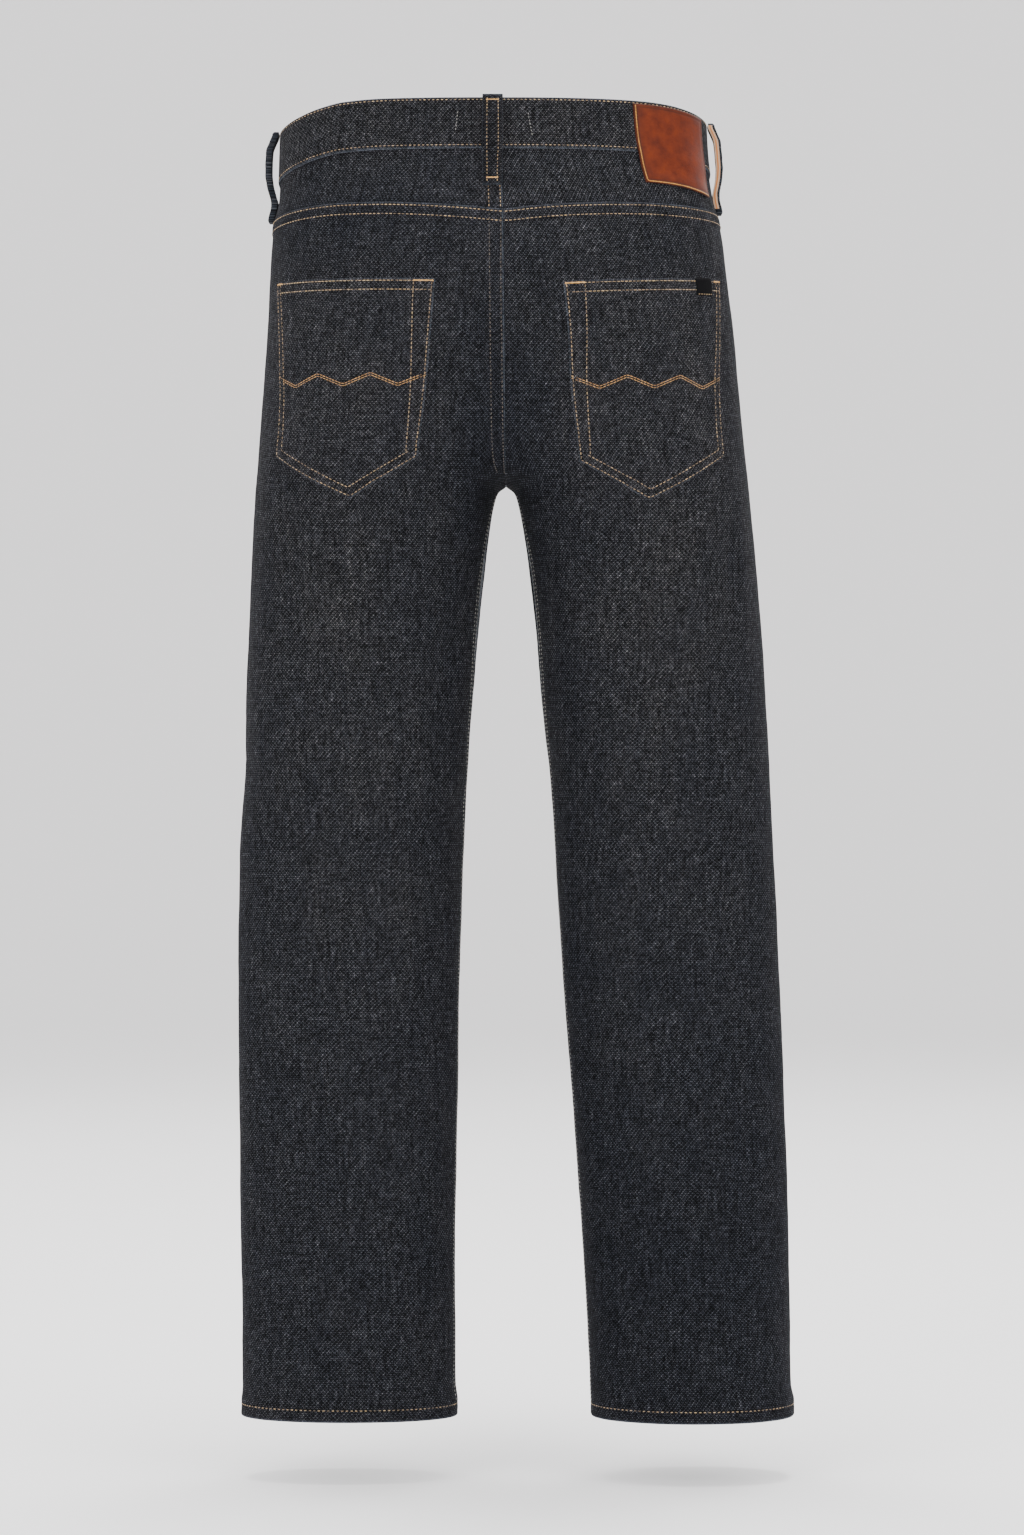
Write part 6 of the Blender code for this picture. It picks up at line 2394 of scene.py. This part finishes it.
@dataclass
class Studio:
    """A pale floor, soft light all round and the camera behind the wearer."""

    floor_level: float = -1.085
    camera_place: tuple = (-0.01558, 3.50, -0.505)
    focal_pixels: float = 4268.3
    long_side: int = 1535
    sensor: float = 36.0
    ambient: float = 1.36
    room: float = 9.0
    bend: float = 3.0
    wall: float = 6.0
    paint: tuple = (0.97, 0.964, 0.967)
    sky: tuple = (1.0, 0.993, 0.996, 1.0)
    aim: tuple = (0.0, 0.0, -0.45)
    # Name, place, side and power in watts of each soft light.
    lights: tuple = (
        ("key", (1.9, 3.0, 1.7), 2.2, 54.0), ("fill", (-2.2, 2.6, 0.9), 2.2, 34.0),
        ("front_key", (-1.9, -3.0, 1.7), 2.2, 54.0), ("front_fill", (2.2, -2.6, 0.9), 2.2, 34.0),
        ("top", (0.0, 0.0, 2.6), 1.6, 130.0),
    )

    def camera(self) -> None:
        """Adds the camera, level and looking along -Y."""
        data = bpy.data.cameras.new("camera")
        data.sensor_width = self.sensor
        data.lens = self.focal_pixels * self.sensor / self.long_side
        made = linked("camera", data)
        made.location = self.camera_place
        made.rotation_euler = (math.radians(90), 0.0, math.radians(180))
        bpy.context.scene.camera = made

    def backdrop(self) -> None:
        """Adds a round studio: a floor that curves up into a wall all round."""
        bpy.ops.object.select_all(action="DESELECT")
        bpy.ops.mesh.primitive_plane_add(size=1.0, location=(0, 0, 0))
        made = bpy.context.object
        made.name = made.data.name = "backdrop"
        bend = self.bend
        turn = np.linspace(0.0, math.pi / 2, 13)
        across = np.concatenate([[0.0, self.room - bend], self.room - bend * (1 - np.sin(turn)),
                                 [self.room]])
        up = np.concatenate([[0.0, 0.0], bend * (1 - np.cos(turn)), [self.wall]])
        mesh = made.data
        mesh.clear_geometry()
        points = [(x, 0.0, self.floor_level + z) for x, z in zip(across, up)]
        mesh.from_pydata(points, [(k, k + 1) for k in range(len(points) - 1)], [])
        bpy.ops.object.mode_set(mode="EDIT")
        bpy.ops.mesh.select_all(action="SELECT")
        bpy.ops.mesh.spin(steps=96, angle=math.tau, center=(0, 0, 0), axis=(0, 0, 1))
        bpy.ops.mesh.select_all(action="SELECT")
        bpy.ops.mesh.remove_doubles(threshold=0.0001)
        bpy.ops.mesh.normals_make_consistent(inside=True)
        bpy.ops.object.mode_set(mode="OBJECT")
        made.data.shade_smooth()
        sketch = NodeSketch("studio_paint")
        tone = sketch.noise(sketch.coordinates(), 3.0, 2.0)
        lighter = tuple(value * 1.008 for value in self.paint)
        colour = sketch.mixed(sketch.ranged(tone, 0.3, 0.7, 0.0, 1.0), self.paint, lighter)
        made.data.materials.append(sketch.surface(base_color=colour, roughness=0.95,
                                                  specular_ior_level=0.1))

    def light(self, name: str, place: tuple, size: float, power: float) -> None:
        """Adds a square soft light that faces the middle of the garment.

        Args:
            name: The light's name.
            place: Where it stands.
            size: The length of its side.
            power: Its power in watts.
        """
        data = bpy.data.lights.new(name, "AREA")
        data.shape, data.size, data.energy = "SQUARE", size, power
        made = linked(name, data)
        made.location = place
        way = Vector(self.aim) - Vector(place)
        made.rotation_euler = way.to_track_quat("-Z", "Y").to_euler()

    def make(self) -> None:
        """Builds the studio."""
        self.camera()
        self.backdrop()
        for name, place, size, power in self.lights:
            self.light(name, place, size, power)
        world = bpy.data.worlds.new("studio")
        world.use_nodes = True
        inputs = world.node_tree.nodes["Background"].inputs
        inputs["Color"].default_value, inputs["Strength"].default_value = self.sky, self.ambient
        bpy.context.scene.world = world


def main(frame: dict) -> None:
    """Builds the garment and the studio around the frame.
    """
    logging.basicConfig(level=logging.INFO, format="%(name)s: %(message)s")
    form = WornForm()
    wardrobe = Wardrobe()
    box = StitchBox()
    Studio().make()
    waist = Waist(form, wardrobe, box)
    for side in Side:
        back = BackPanel(form, side, wardrobe)
        back.make()
        back.rows(box)
        front = FrontPanel(form, side, wardrobe)
        front.make()
        front.rows(box)
        front.facing()
        waist.yoke(side)
    waist.band()
    for name, side, spot in (
        ("loop_back", Side.LEFT, Spot.BACK), ("loop_side_left", Side.LEFT, Spot.SIDE),
        ("loop_side_right", Side.RIGHT, Spot.SIDE), ("loop_front_left", Side.LEFT, Spot.FRONT),
        ("loop_front_right", Side.RIGHT, Spot.FRONT),
    ):
        waist.loop(name, side, spot)
    waist.seam_allowance()
    waist.selvedge()
    waist.patch()
    waist.button()
    BackPocket(form, Side.LEFT, wardrobe, box, (20.05, -11.86), (4.9, -11.43), (19.65, -25.90),
               (7.4, -25.65),
               (13.45, -29.10)).make()
    right = BackPocket(form, Side.RIGHT, wardrobe, box, (20.1, -12.09), (5.2, -11.23), (20.3, -26.20),
                       (8.0, -25.60), (14.2, -29.26))
    right.make()
    right.label()
    Fly(form, wardrobe, frame).make()
    LOG.info("all pieces built")


if __name__ == "__main__":
    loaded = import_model()
    main(loaded)
